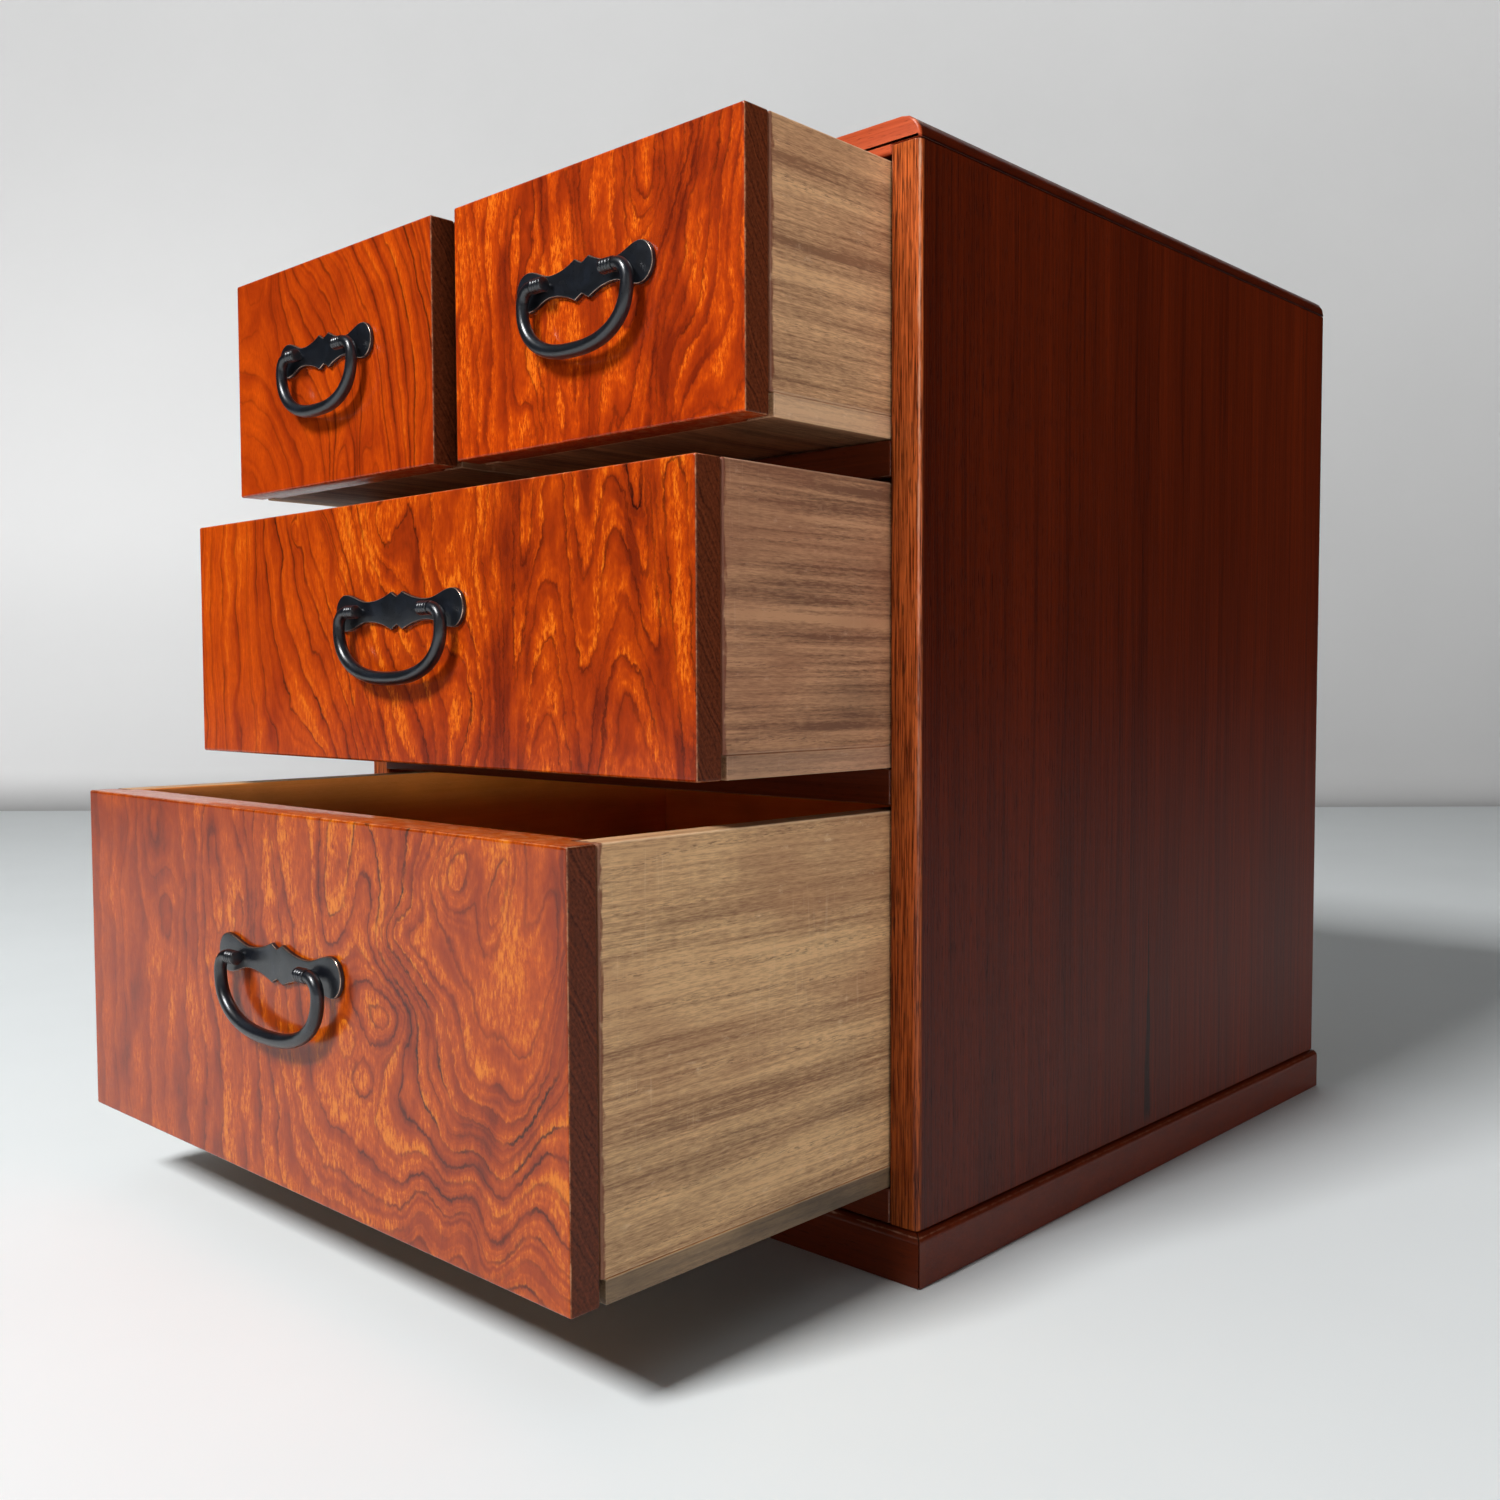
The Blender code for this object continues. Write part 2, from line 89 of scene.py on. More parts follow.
# Closed shells become one mesh. A shell is a grid of points, rows along its length and columns round it,
# with a flat cap on its first and last row, and marks: one number per point that the finish reads.
def makePiece(node, body, finish, shells):
    points, faces, marks, start = [], [], {}, 0
    for grid, shellMarks in shells:
        rows, columns = grid.shape[:2]
        index = np.arange(rows * columns).reshape(rows, columns)
        loop = np.hstack([index, index[:, :1]])
        quads = np.stack([loop[:-1, :-1], loop[:-1, 1:], loop[1:, 1:], loop[1:, :-1]], -1).reshape(-1, 4)
        flat = grid.reshape(-1, 3)
        corner = flat[quads]
        across = np.cross(corner[:, 2] - corner[:, 0], corner[:, 3] - corner[:, 1])
        outward = np.einsum("ij,ij->", corner.mean(1) - flat.mean(0), across) > 0
        caps = [index[0][::-1], index[-1]]
        step = 1 if outward else -1
        faces += (start + quads[:, ::step]).tolist() + [(start + cap[::step]).tolist() for cap in caps]
        points.append(flat)
        for mark, values in shellMarks.items():
            marks.setdefault(mark, []).append((start, np.broadcast_to(values, (rows, columns)).ravel()))
        start += len(flat)
    piece = meshItem(pieceName(node), np.concatenate(points), faces, finish)
    piece.data.set_sharp_from_angle(angle=sharpAngle)
    for mark, runs in marks.items():
        values = np.zeros(start, np.float32)
        for first, run in runs:
            values[first:first + len(run)] = run
        piece.data.attributes.new(mark, "FLOAT", "POINT").data.foreach_set("value", values)
    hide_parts(node)
    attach(piece, body)


# Outline of square corners, each rounded by its own radius, with a guard point beside every arc:
# arc point = centre - radius * (cos(a) * ahead + sin(a) * back)
def roundedOutline(corners, radii, inset, splits):
    corners = np.array(corners, float)
    back = unit(np.roll(corners, 1, 0) - corners)
    ahead = unit(np.roll(corners, -1, 0) - corners)
    convex = np.sign(ahead[:, :1] * back[:, 1:] - ahead[:, 1:] * back[:, :1])
    corners = corners + convex * inset * (ahead + back)
    radius = np.maximum(np.array(radii, float)[:, None] - convex * inset, leastRadius)
    centre = corners + radius * (ahead + back)
    a = quarter(arcSteps + 1)[None, :, None]
    arc = centre[:, None] - radius[:, None] * (np.cos(a) * ahead[:, None] + np.sin(a) * back[:, None])
    before = corners + (radius + guardGap) * back
    after = corners + (radius + guardGap) * ahead
    bend = np.sin(2 * a[0, :, 0])
    points, bends = [], []
    for k in range(len(corners)):
        count = (splits or {}).get(k, 0)
        share = np.linspace(0, 1, count + 2)[:-1, None]
        run = after[k] + share * (np.roll(before, -1, 0)[k] - after[k])
        points += [before[k:k + 1], arc[k], run]
        bends += [[0], bend * (convex[k] > 0), np.zeros(len(run))]
    return np.concatenate(points), np.concatenate(bends)


# A board is an outline carried along an axis. At each end a quarter-round of endRadius draws it in:
# place = radius * (1 - cos(a)), inset = radius * (1 - sin(a)).
def board(corners, radii, axis, low, high, endRadius, splits=None, lengthSteps=1, extra=()):
    a = quarter(arcSteps + 1)
    place = endRadius * (1 - np.cos(a))
    inset = endRadius * (1 - np.sin(a))
    middle = np.linspace(low + endRadius + guardGap, high - endRadius - guardGap, lengthSteps + 1)
    middle = np.sort(np.concatenate([middle, extra]))
    places = np.concatenate([low + place, middle, high - place[::-1]])
    insets = np.concatenate([inset, np.zeros(len(middle)), inset[::-1]])
    endBend = np.concatenate([np.sin(2 * a), np.zeros(len(middle)), np.sin(2 * a[::-1])])
    rings = [roundedOutline(corners, radii, pull, splits) for pull in insets]
    flat = np.stack([ring[0] for ring in rings])
    grid = np.insert(flat, axis, 0, axis=2)
    grid[..., axis] = places[:, None]
    edge = np.maximum(np.stack([ring[1] for ring in rings]), endBend[:, None])
    return grid, dict(edge=edge)


# A plain board fills its node's box, with its arrises rounded
def plainBoard(node, axis, radius, ends=None):
    low, high = boxOf(node)
    across = [k for k in range(3) if k != axis]
    start, end = (low[axis], high[axis]) if ends is None else ends
    return board(rectangle(low[across], high[across]), [radius] * 4, axis, start, end, radius)


# A tube follows a line of points in the XZ plane; its round section is
# radius * (cos(b) * normal + sin(b) * Y)
def tube(line, radius, centre, sides=20):
    run = unit(np.gradient(line, axis=0))
    normal = np.stack([run[:, 1], -run[:, 0]], 1)
    b = np.linspace(0, 2 * math.pi, sides, endpoint=False)
    flat = line[:, None] + radius[:, None, None] * np.cos(b)[None, :, None] * normal[:, None]
    depth = radius[:, None] * np.sin(b)[None]
    return np.stack([flat[..., 0] + centre[0], depth + centre[1], flat[..., 1] + centre[2]], -1)


# A turned shape: a profile of (place, radius) carried round the X axis or the Y axis through a centre
def turned(profile, centre, axis, sides=24):
    profile = np.array(profile, float)
    b = np.linspace(0, 2 * math.pi, sides, endpoint=False)
    place = np.repeat(profile[:, :1], sides, 1)
    first, second = profile[:, 1:] * np.cos(b), profile[:, 1:] * np.sin(b)
    parts = (place, first, second) if axis == 0 else (first, place, second)
    return np.stack(parts, -1) + np.array(centre)


# A socket of a node tree. Arithmetic on it adds Math nodes.
class Tone:
    def __init__(self, nodes, socket):
        self.nodes = nodes
        self.socket = socket

    def math(self, operation, other=0.5, flip=False):
        pair = (other, self) if flip else (self, other)
        return self.nodes.node("ShaderNodeMath", dict(operation=operation), {0: pair[0], 1: pair[1]})

    def __add__(self, other):
        return self.math("ADD", other)

    def __sub__(self, other):
        return self.math("SUBTRACT", other)

    def __mul__(self, other):
        return self.math("MULTIPLY", other)

    def __truediv__(self, other):
        return self.math("DIVIDE", other)

    def __pow__(self, other):
        return self.math("POWER", other)

    def __rsub__(self, other):
        return self.math("SUBTRACT", other, True)

    def __rtruediv__(self, other):
        return self.math("DIVIDE", other, True)

    __radd__ = __add__
    __rmul__ = __mul__


# A node tree: each node gets its settings first and then its sockets
class Nodes:
    def __init__(self, tree):
        self.tree = tree
        tree.nodes.clear()

    def node(self, kind, settings=None, sockets=None, output=0):
        made = self.tree.nodes.new(kind)
        for name, value in (settings or {}).items():
            if name == "stops":
                ramp = made.color_ramp
                while len(ramp.elements) < len(value):
                    ramp.elements.new(0.5)
                for element, (spot, shade) in zip(ramp.elements, value):
                    element.position = spot
                    element.color = (*shade, 1)
            else:
                setattr(made, name, value)
        for name, value in (sockets or {}).items():
            if isinstance(value, Tone):
                self.tree.links.new(value.socket, made.inputs[name])
            elif isinstance(value, tuple) and made.inputs[name].type == "RGBA":
                made.inputs[name].default_value = (*value, 1)
            else:
                made.inputs[name].default_value = value
        return Tone(self, made.outputs[output]) if made.outputs else made

    # 0 below low, 1 above high, smooth between
    def step(self, value, low, high):
        sockets = {"Value": value, "From Min": low, "From Max": high}
        return self.node("ShaderNodeMapRange", dict(interpolation_type="SMOOTHSTEP"), sockets)


# A finish is a material on Object coordinates, which are the frame's own metres; x, y and z are in mm. Its
# look gives colours (0 to 255, as on a screen), sizes of its noises (mm along X, Y, Z) and plain levels.
class Finish(Nodes):
    def __init__(self, name, look):
        self.look = look
        self.material = bpy.data.materials.new(name)
        self.material.use_nodes = True
        super().__init__(self.material.node_tree)
        self.place = self.node("ShaderNodeTexCoord", output="Object")
        spot = [self.node("ShaderNodeSeparateXYZ", None, {0: self.place}, k) for k in range(3)]
        self.x, self.y, self.z = [part / mm for part in spot]

    def hue(self, name):
        return colour(self.look[name])

    # soft noise from 0 to 1, in blotches of a named size; twist curls them
    def noise(self, part, detail=2, roughness=0.5, shift=0, twist=0):
        scale = tuple(1 / (size * mm) for size in self.look["sizes"][part])
        spot = {"Vector": self.place, "Scale": scale, "Location": (shift,) * 3}
        sockets = {"Vector": self.node("ShaderNodeMapping", None, spot), "Scale": 1, "Detail": detail,
                   "Roughness": roughness, "Distortion": twist}
        return self.node("ShaderNodeTexNoise", None, sockets)

    # soft noise along one number
    def chance(self, value, shift=0):
        sockets = {"W": value + shift, "Scale": 1, "Detail": 1}
        return self.node("ShaderNodeTexNoise", dict(noise_dimensions="1D"), sockets)

    def mark(self, name):
        return self.node("ShaderNodeAttribute", dict(attribute_name=name), output="Fac")

    def ramp(self, value, stops):
        return self.node("ShaderNodeValToRGB", dict(stops=[(s, colour(c)) for s, c in stops]), {0: value})

    def blend(self, factor, under, over, mode="MIX"):
        settings = dict(data_type="RGBA", blend_type=mode)
        return self.node("ShaderNodeMix", settings, {0: factor, 6: under, 7: over}, 2)

    # brightness as a factor on a colour
    def shade(self, base, factor):
        grey = self.node("ShaderNodeCombineXYZ", None, {0: factor, 1: factor, 2: factor})
        return self.blend(1.0, base, grey, "MULTIPLY")

    # distance to the nearest whole number
    def nearest(self, phase):
        return phase.math("MINIMUM", 1 - phase)

    # rubbed arrises, paler partly from wear and partly as a painted highlight along them: the edge mark and a
    # rubbing noise, each with its weight, between two limits
    def wear(self, wood, amount):
        edge, rub, low, high = self.look["wear"]
        worn = self.step(self.mark("edge") * edge + self.noise("rub", 4, 0.7) * rub, low, high)
        return self.blend(worn * amount, wood, self.hue("worn"))

    # bumps are pairs of a height and its depth in mm
    def surface(self, sockets, bumps=()):
        normal = None
        for height, depth in bumps:
            bump = {"Height": height, "Distance": depth * mm, "Strength": 1}
            if normal is not None:
                bump["Normal"] = normal
            normal = self.node("ShaderNodeBump", None, bump)
        if normal is not None:
            sockets = {**sockets, "Normal": normal}
        shader = self.node("ShaderNodeBsdfPrincipled", None, sockets)
        self.node("ShaderNodeOutputMaterial", None, {"Surface": shader})
        return self.material

    # dull wood under a smoother coat
    def lacquer(self, wood, rough, bumps, coat=1):
        look = self.look
        sockets = {"Base Color": wood, "Roughness": rough + look["roughness"],
                   "Specular IOR Level": look["specular"], "Coat Weight": coat * look["coat"],
                   "Coat Roughness": look["coatRoughness"]}
        return self.surface(sockets, bumps)


# screen colours to the linear values that nodes take
def colour(rgb):
    share = np.array(rgb, float) / 255
    return tuple(np.where(share <= 0.04045, share / 12.92, ((share + 0.055) / 1.055) ** 2.4).tolist())


# Lacquered wood with ring figure. The ring mark counts growth rings and slope is rings per mm, so that
# away = distance to the nearest ring line in mm. The line and mottle marks say how strong the ring lines
# and the mottled flames are, the tone mark lays broad light and dark streaks over both, and the brown mark
# dulls the whole front by a factor.
frontLook = dict(
    stops=[(0.0, (128, 34, 4)), (0.3, (166, 50, 4)), (0.62, (206, 73, 4)), (1.0, (240, 112, 20))],
    endDark=(58, 23, 9), endLight=(122, 57, 29), worn=(222, 160, 116), brown=(0.78, 1.1, 1.0),
    sizes=dict(jag=(1.6, 1.6, 3.2), sway=(15, 15, 22), cloud=(26, 26, 38), tall=(8, 8, 34),
               curl=(10, 10, 22), fleck=(0.8, 0.8, 2.6), fade=(12, 12, 22), pore=(0.4, 0.4, 1.8),
               ripple=(9, 9, 9), pith=(1, 1, 1), rub=(3, 3, 3)),
    arcGap=1.1, wear=(0.7, 0.6, 0.84, 1.1), roughness=0.5, specular=0.06, coat=0.65, coatRoughness=0.16)


def frontFinish():
    f = Finish("frontLacquer", frontLook)
    line, mottle, slope, bare = [f.mark(name) for name in ("line", "mottle", "slope", "endGrain")]
    jag = (f.noise("jag", 2, 0.6) - 0.5) * slope * mottle * 4
    ring = f.mark("ring") + (jag + f.noise("sway", 3, shift=3))
    phase = ring.math("FRACT")
    away = f.nearest(phase) / slope
    early = f.step(phase, 0.0, 0.12) * (1 - f.step(phase, 0.15, 0.95)) * (1 - f.step(slope, 0.12, 0.35))
    cloud = f.noise("cloud", 3)
    tall = f.noise("tall", 3, shift=7)
    curl = f.noise("curl", 3, shift=22, twist=1.4)
    fleck = f.noise("fleck", 3, 0.65)
    rings = ((f.chance(ring * 0.9) - 0.5) * 0.6 + (f.chance(ring * 4, 40) - 0.5) * 0.45) * line
    flames = ((early - 0.3) * 0.35 + (tall - 0.5) * 0.8 + (curl - 0.5) * 0.9) * mottle
    tone = rings + flames + (cloud - 0.5) * 0.7 + f.mark("tone") * 0.7 + 0.46
    tone = tone + (fleck - 0.5) * (f.step(tone, 0.35, 0.8) * mottle * 3.2 + 0.4)
    wood = f.ramp(tone, frontLook["stops"])
    ownDark = f.step(f.chance((ring + 0.5).math("FLOOR") * 3.7, 60), 0.3, 0.7) * 0.7 + 0.3
    fade = f.step(f.noise("fade", 2, shift=5), 0.36, 0.6) * 0.7 + 0.3
    halo, core = 1 - f.step(away, 0.1, 2.6), 1 - f.step(away, 0.1, 0.75)
    dark = (halo * 0.15 + core * (fleck * 0.8 + 0.3)) * ownDark * fade * line
    pores = f.step(f.noise("pore", 2, 0.6, 9), 0.58, 0.68) * (1 - f.step(away, 0.6, 3.0)) * mottle
    wood = f.shade(wood, 1 - dark - pores * 0.3)
    wood = f.blend(f.mark("brown"), wood, frontLook["brown"], "MULTIPLY")
    ripple = f.noise("ripple")
    arcs = f.chance((f.y + f.z * 0.6 + (ripple - 0.5) * 4) / frontLook["arcGap"])
    pith = (arcs - 0.5) * 0.9 + (f.noise("pith", 3) - 0.5) * 1.2 + 0.4
    wood = f.blend(bare, wood, f.blend(pith, f.hue("endDark"), f.hue("endLight")))
    # rubbed arrises, partly real wear and partly a painted highlight along the edges
    wood = f.wear(wood, 0.5)
    rough = pores * 0.2 + (cloud - 0.5) * 0.1
    return f.lacquer(wood, rough, [(1 - pores, 0.04), (ripple, 0.03)], 1 - bare * 0.6)


# Dark lacquered case boards: straight grain along Z with dashed pores that thin out towards the back, a
# brighter stile on the front edge, darker towards its foot as a painted shadow of the drawn-out drawers,
# with a rubbed arris that is partly a painted highlight, and one dark spindle low on the right side:
# half width = spindle width * (1 - (z - foot) / tall)
caseLook = dict(
    dark=(50, 9, 0), light=(98, 29, 2), stile=(206, 100, 42), stileDark=(112, 42, 10), streak=(20, 7, 4),
    spindle=dict(y=147.5, foot=18.0, tall=88.0, width=3.6), ringGap=17, stileSpan=(-60, 330),
    sizes=dict(bands=(24, 24, 600), lines=(0.8, 0.8, 90), pores=(0.5, 0.5, 9), sway=(90, 90, 160),
               wobble=(5, 5, 30), fibre=(0.6, 0.6, 26), rub=(2, 2, 14)),
    worn=(240, 176, 140), wear=(0.75, 0.5, 0.84, 1.1), roughness=0.5, specular=0.06, coat=0.26,
    coatRoughness=0.2)


def caseFinish():
    f = Finish("caseLacquer", caseLook)
    bands = f.noise("bands", 3, 0.6)
    lines = f.noise("lines", 3, 0.65)
    pores = f.step(f.noise("pores", 2, 0.6), 0.53, 0.64) * (1 - f.step(f.y, 20, 200) * 0.75)
    tone = (bands - 0.5) * 0.9 + (lines - 0.5) * 1.7 + 0.5
    wood = f.blend(tone, f.hue("dark"), f.hue("light"))
    grow = (f.y / caseLook["ringGap"] + (f.noise("sway", shift=4) - 0.5) * 1.6).math("FRACT")
    wood = f.shade(wood, 1 - (1 - f.step(f.nearest(grow), 0.01, 0.05)) * 0.22)
    spindle = caseLook["spindle"]
    half = (1 - (f.z - spindle["foot"]) / spindle["tall"]).math("MAXIMUM", 0.001) * spindle["width"]
    off = (f.y - spindle["y"] + (f.noise("wobble") - 0.5) * 4).math("ABSOLUTE") / half
    low = f.step(f.z, spindle["foot"] - 2, spindle["foot"] + 6) * f.step(f.x, 0, 1)
    wood = f.blend((1 - f.step(off, 0.4, 1.1)) * low * 0.85, wood, f.hue("streak"))
    fibre = f.noise("fibre", 3, 0.6, 5)
    stile = f.blend((fibre - 0.5) * 5 + 0.6, f.hue("stileDark"), f.hue("stile"))
    # painted shadow: the stile darkens towards its foot, where the drawn-out drawers shade it
    stile = f.shade(stile, f.step(f.z, *caseLook["stileSpan"]) * 0.5 + 0.5)
    front = 1 - f.step(f.y, 1.0, 2.4)
    wood = f.blend(front, wood, stile)
    wood = f.shade(wood, 1 - pores * (front * 0.15 + 0.45))
    # rubbed stile arris, partly a painted highlight that fades towards the foot
    wood = f.wear(wood, front * f.step(f.z, 20, 340) * 0.75)
    rough = (bands - 0.5) * 0.15 + pores * 0.15
    return f.lacquer(wood, rough, [(1 - pores, 0.06), (lines, 0.05)])


# Lacquered rails and edges with grain along X: shelf edges, darker than the shelves as painted shade
# of the gaps between the drawers, plinth, and the top board, whose front edge is brighter than the rest of it
railLook = dict(
    sizes=dict(bands=(300, 11, 4), lines=(40, 1.2, 0.8), pores=(5, 0.45, 0.45), rub=(8, 4, 4)),
    worn=(236, 180, 148), wear=(0.65, 0.5, 0.8, 1.05), roughness=0.5, specular=0.06, coat=0.4,
    coatRoughness=0.24)
railHues = dict(
    top=dict(dark=(44, 8, 1), light=(84, 24, 3), edgeDark=(158, 55, 23), edgeLight=(214, 97, 54)),
    # the shelves' front edges are dark as painted shade of the gaps between the drawers
    shelf=dict(dark=(86, 34, 10), light=(140, 60, 24), edgeDark=(70, 24, 7), edgeLight=(104, 40, 14)),
    plinth=dict(dark=(70, 20, 5), light=(98, 35, 12), edgeDark=(74, 24, 6), edgeLight=(102, 38, 12)))


def railFinish(kind):
    f = Finish(kind + "Lacquer", {**railLook, **railHues[kind]})
    bands = f.noise("bands", 3, 0.6)
    lines = f.noise("lines", 3, 0.65)
    tone = (bands - 0.5) * 1.2 + (lines - 0.5) * 0.9 + 0.5
    body = f.blend(tone, f.hue("dark"), f.hue("light"))
    edge = f.blend(tone, f.hue("edgeDark"), f.hue("edgeLight"))
    wood = f.blend(1 - f.step(f.y, 0.4, 1.6), body, edge)
    pores = f.step(f.noise("pores", 2, 0.6), 0.58, 0.68)
    wood = f.shade(wood, 1 - pores * 0.3)
    # rubbed arrises, more at the front, partly real wear and partly a painted highlight
    wood = f.wear(wood, (1 - f.step(f.y, 1, 12)) * 0.4 + 0.12)
    rough = (bands - 0.5) * 0.15 + pores * 0.15
    return f.lacquer(wood, rough, [(1 - pores, 0.05), (lines, 0.04)])


# Bare pale drawer wood with its grain along one axis: rings across it, dashed pores on their lines, clouds,
# scuffs, saw marks across the grain, paler arrises, an orange inside (the inner mark), and lacquer run
# over from the front (the bleed mark, in mm from the front). The tint, rose and streaky marks make it
# brighter, redder and more banded. Its grain sizes run along and across the grain.
paleLook = dict(
    light=(214, 172, 124), dark=(134, 95, 64), cloud=(126, 84, 56), dash=(80, 50, 32), worn=(228, 200, 164),
    bleed=(112, 50, 24), inner=(230, 134, 36), rose=(1.0, 0.82, 0.84), ringGap=10, roughness=0.62,
    sizes=dict(run=(2, 2, 5)),
    grain=dict(bands=(220, 8), lines=(55, 1.1), fibre=(4, 0.45), cloud=(60, 26), sway=(150, 40),
               dash=(3.5, 0.35), stray=(3, 0.35), scuff=(9, 4), saw=(1, 18), sawn=(30, 30)))
noBleed = 9.0  # farther from the front than any lacquer runs


def paleFinish(name, axis):
    sizes = dict(paleLook["sizes"])
    for part, (length, across) in paleLook["grain"].items():
        sizes[part] = [length if k == axis else across for k in range(3)]
    f = Finish(name, {**paleLook, "sizes": sizes})
    bands = f.noise("bands", 3, 0.6)
    lines = f.noise("lines", 3, 0.6)
    fibre = f.noise("fibre", 3, 0.65)
    streaks = (bands - 0.5) * 1.7 * (f.mark("streaky") * 1.7 + 1)
    tone = streaks + (lines - 0.5) * 1.8 + (fibre - 0.5) * 1.7 + 0.55
    wood = f.blend(tone, f.hue("dark"), f.hue("light"))
    cloud = f.noise("cloud", 3)
    wood = f.blend(f.step(cloud, 0.46, 0.72) * 0.55, wood, f.hue("cloud"))
    across = (f.y, f.z, f.x)[axis]
    grow = (across / paleLook["ringGap"] + (f.noise("sway", shift=6) - 0.5) * 3).math("FRACT")
    nearLine = 1 - f.step(f.nearest(grow), 0.02, 0.14)
    dash = f.step(f.noise("dash", 2, 0.6, 2), 0.52, 0.64) * nearLine
    dash = dash + f.step(f.noise("stray", 2, 0.6, 8), 0.62, 0.7) * 0.35
    wood = f.blend(dash * f.step(bands, 0.3, 0.6) * 0.55, wood, f.hue("dash"))
    scuff = f.step(f.noise("scuff", 5, 0.75, 7), 0.58, 0.75) * 0.35
    saw = f.step(f.noise("saw", 3, 0.6, 11), 0.56, 0.7) * f.step(f.noise("sawn", shift=12), 0.54, 0.66)
    wood = f.blend(f.mark("edge") * 0.4 + scuff + saw * 0.12, wood, f.hue("worn"))
    wood = f.blend(f.step(f.mark("inner"), 0.9, 0.99) * 0.85, wood, f.hue("inner"))
    wood = f.shade(wood, cloud - 0.5 + f.mark("tint"))
    wood = f.blend(f.mark("rose"), wood, paleLook["rose"], "MULTIPLY")
    run = f.mark("bleed") + (f.noise("run", 3) - 0.5) * 4
    wood = f.blend((1 - f.step(run, 0.6, 1.6)) * 0.85, wood, f.hue("bleed"))
    rough = (lines - 0.5) * 0.2 + paleLook["roughness"]
    return f.surface({"Base Color": wood, "Roughness": rough}, [(lines, 0.08), (1 - dash, 0.06)])


# Blue-black iron, worn to bare metal on the edges, which also carry a painted highlight
ironLook = dict(base=(15, 18, 24), bloom=(28, 33, 42), worn=(206, 172, 150), roughness=0.31, specular=0.9,
                sizes=dict(bloom=(6, 6, 6), grit=(0.7, 0.7, 0.7)))


def ironFinish():
    f = Finish("handleIron", ironLook)
    bloom = f.noise("bloom", 4, 0.6)
    grit = f.noise("grit", 3, 0.6)
    metal = f.blend(f.step(bloom, 0.4, 0.75), f.hue("base"), f.hue("bloom"))
    # worn bare edges and rims, partly a painted highlight
    worn = f.step(f.mark("edge") * 0.7 + bloom * 0.5, 0.74, 0.94)
    metal = f.blend(worn * 0.85, metal, f.hue("worn"))
    rough = (grit - 0.5) * 0.2 + ironLook["roughness"] - worn * 0.08
    sockets = {"Base Color": metal, "Roughness": rough, "Metallic": worn * 0.7 + 0.15,
               "Specular IOR Level": ironLook["specular"]}
    return f.surface(sockets, [(bloom, 0.06), (grit, 0.03)])


frontLacquer = frontFinish()
caseLacquer = caseFinish()
topLacquer, shelfWood, plinthLacquer = [railFinish(kind) for kind in ("top", "shelf", "plinth")]
paleAlongY = paleFinish("drawerWoodAlongY", 1)
paleAlongX = paleFinish("drawerWoodAlongX", 0)
backWood = paleFinish("backWood", 2)
handleIron = ironFinish()
print("finishes made:", len(bpy.data.materials))

# Case: sides carried up Z, top and shelves carried along X or Y, all from their nodes' boxes
caseForm = dict(
    stileArris=2.2 * mm, innerArris=0.8 * mm, backArris=1 * mm, rebateArris=0.2 * mm, fineArris=0.3 * mm,
    backRebate=4 * mm, topRound=7.2 * mm, lapDepth=2.7 * mm, edgeArris=0.7 * mm, shelfGap=0.05 * mm,
    dividerArris=0.6 * mm, plinthArris=2.5 * mm, plinthEdge=0.5 * mm, mitreArris=0.1 * mm, backTint=0.8)


def sideBoard(side):
    node = side + "_side_board"
    low, high = boxOf(node)
    outer, inner = (high[0], low[0]) if side == "right" else (low[0], high[0])
    rebateX = inner + math.copysign(caseForm["backRebate"], outer)
    rebateY = boxOf("back_panel")[0][1]
    corners = [(outer, low[1]), (outer, high[1]), (rebateX, high[1]), (rebateX, rebateY), (inner, rebateY),
               (inner, low[1])]
    radii = [caseForm[k + "Arris"] for k in ("stile", "back", "fine", "rebate", "fine", "inner")]
    if side == "left":  # keeps the corners counter-clockwise
        corners, radii = corners[::-1], radii[::-1]
    shell = board(corners, radii, 2, low[2], high[2], caseForm["fineArris"])
    makePiece(node, "case", caseLacquer, [shell])


def topBoard():
    low, high = boxOf("top_board")
    lapX = boxOf("right_side_board")[0][0]
    lapZ = low[2] + caseForm["lapDepth"]
    corners = [(low[0], lapZ), (-lapX, lapZ), (-lapX, low[2]), (lapX, low[2]), (lapX, lapZ), (high[0], lapZ),
               (high[0], high[2]), (low[0], high[2])]
    radii = [caseForm["fineArris"]] * 6 + [caseForm["topRound"]] * 2
    shell = board(corners, radii, 1, low[1], high[1], caseForm["edgeArris"])
    makePiece("top_board", "case", topLacquer, [shell])


def plinthRail(side):
    node = side + "_plinth_rail"
    low, high = boxOf(node)
    axis = 0 if side in ("front", "rear") else 1
    across = [1 - axis, 2]
    corners = rectangle(low[across], high[across])
    radii = [caseForm["plinthEdge"]] * 4
    if side in ("front", "left"):
        radii[3] = caseForm["plinthArris"]
    if side == "right":
        radii[2] = caseForm["plinthArris"]
    grid, marks = board(corners, radii, axis, low[axis], high[axis], caseForm["mitreArris"])
    mid = grid[..., axis] - (low[axis] + high[axis]) / 2
    if side == "front":  # mitred at both ends
        grid[..., 0] -= np.sign(mid) * (grid[..., 1] - low[1])
    if side in ("left", "right"):  # mitred at the front end
        outer = np.abs(grid[..., 0]).max()
        grid[..., 1] += (mid < 0) * (outer - np.abs(grid[..., 0]))
    makePiece(node, "case", plinthLacquer, [(grid, marks)])


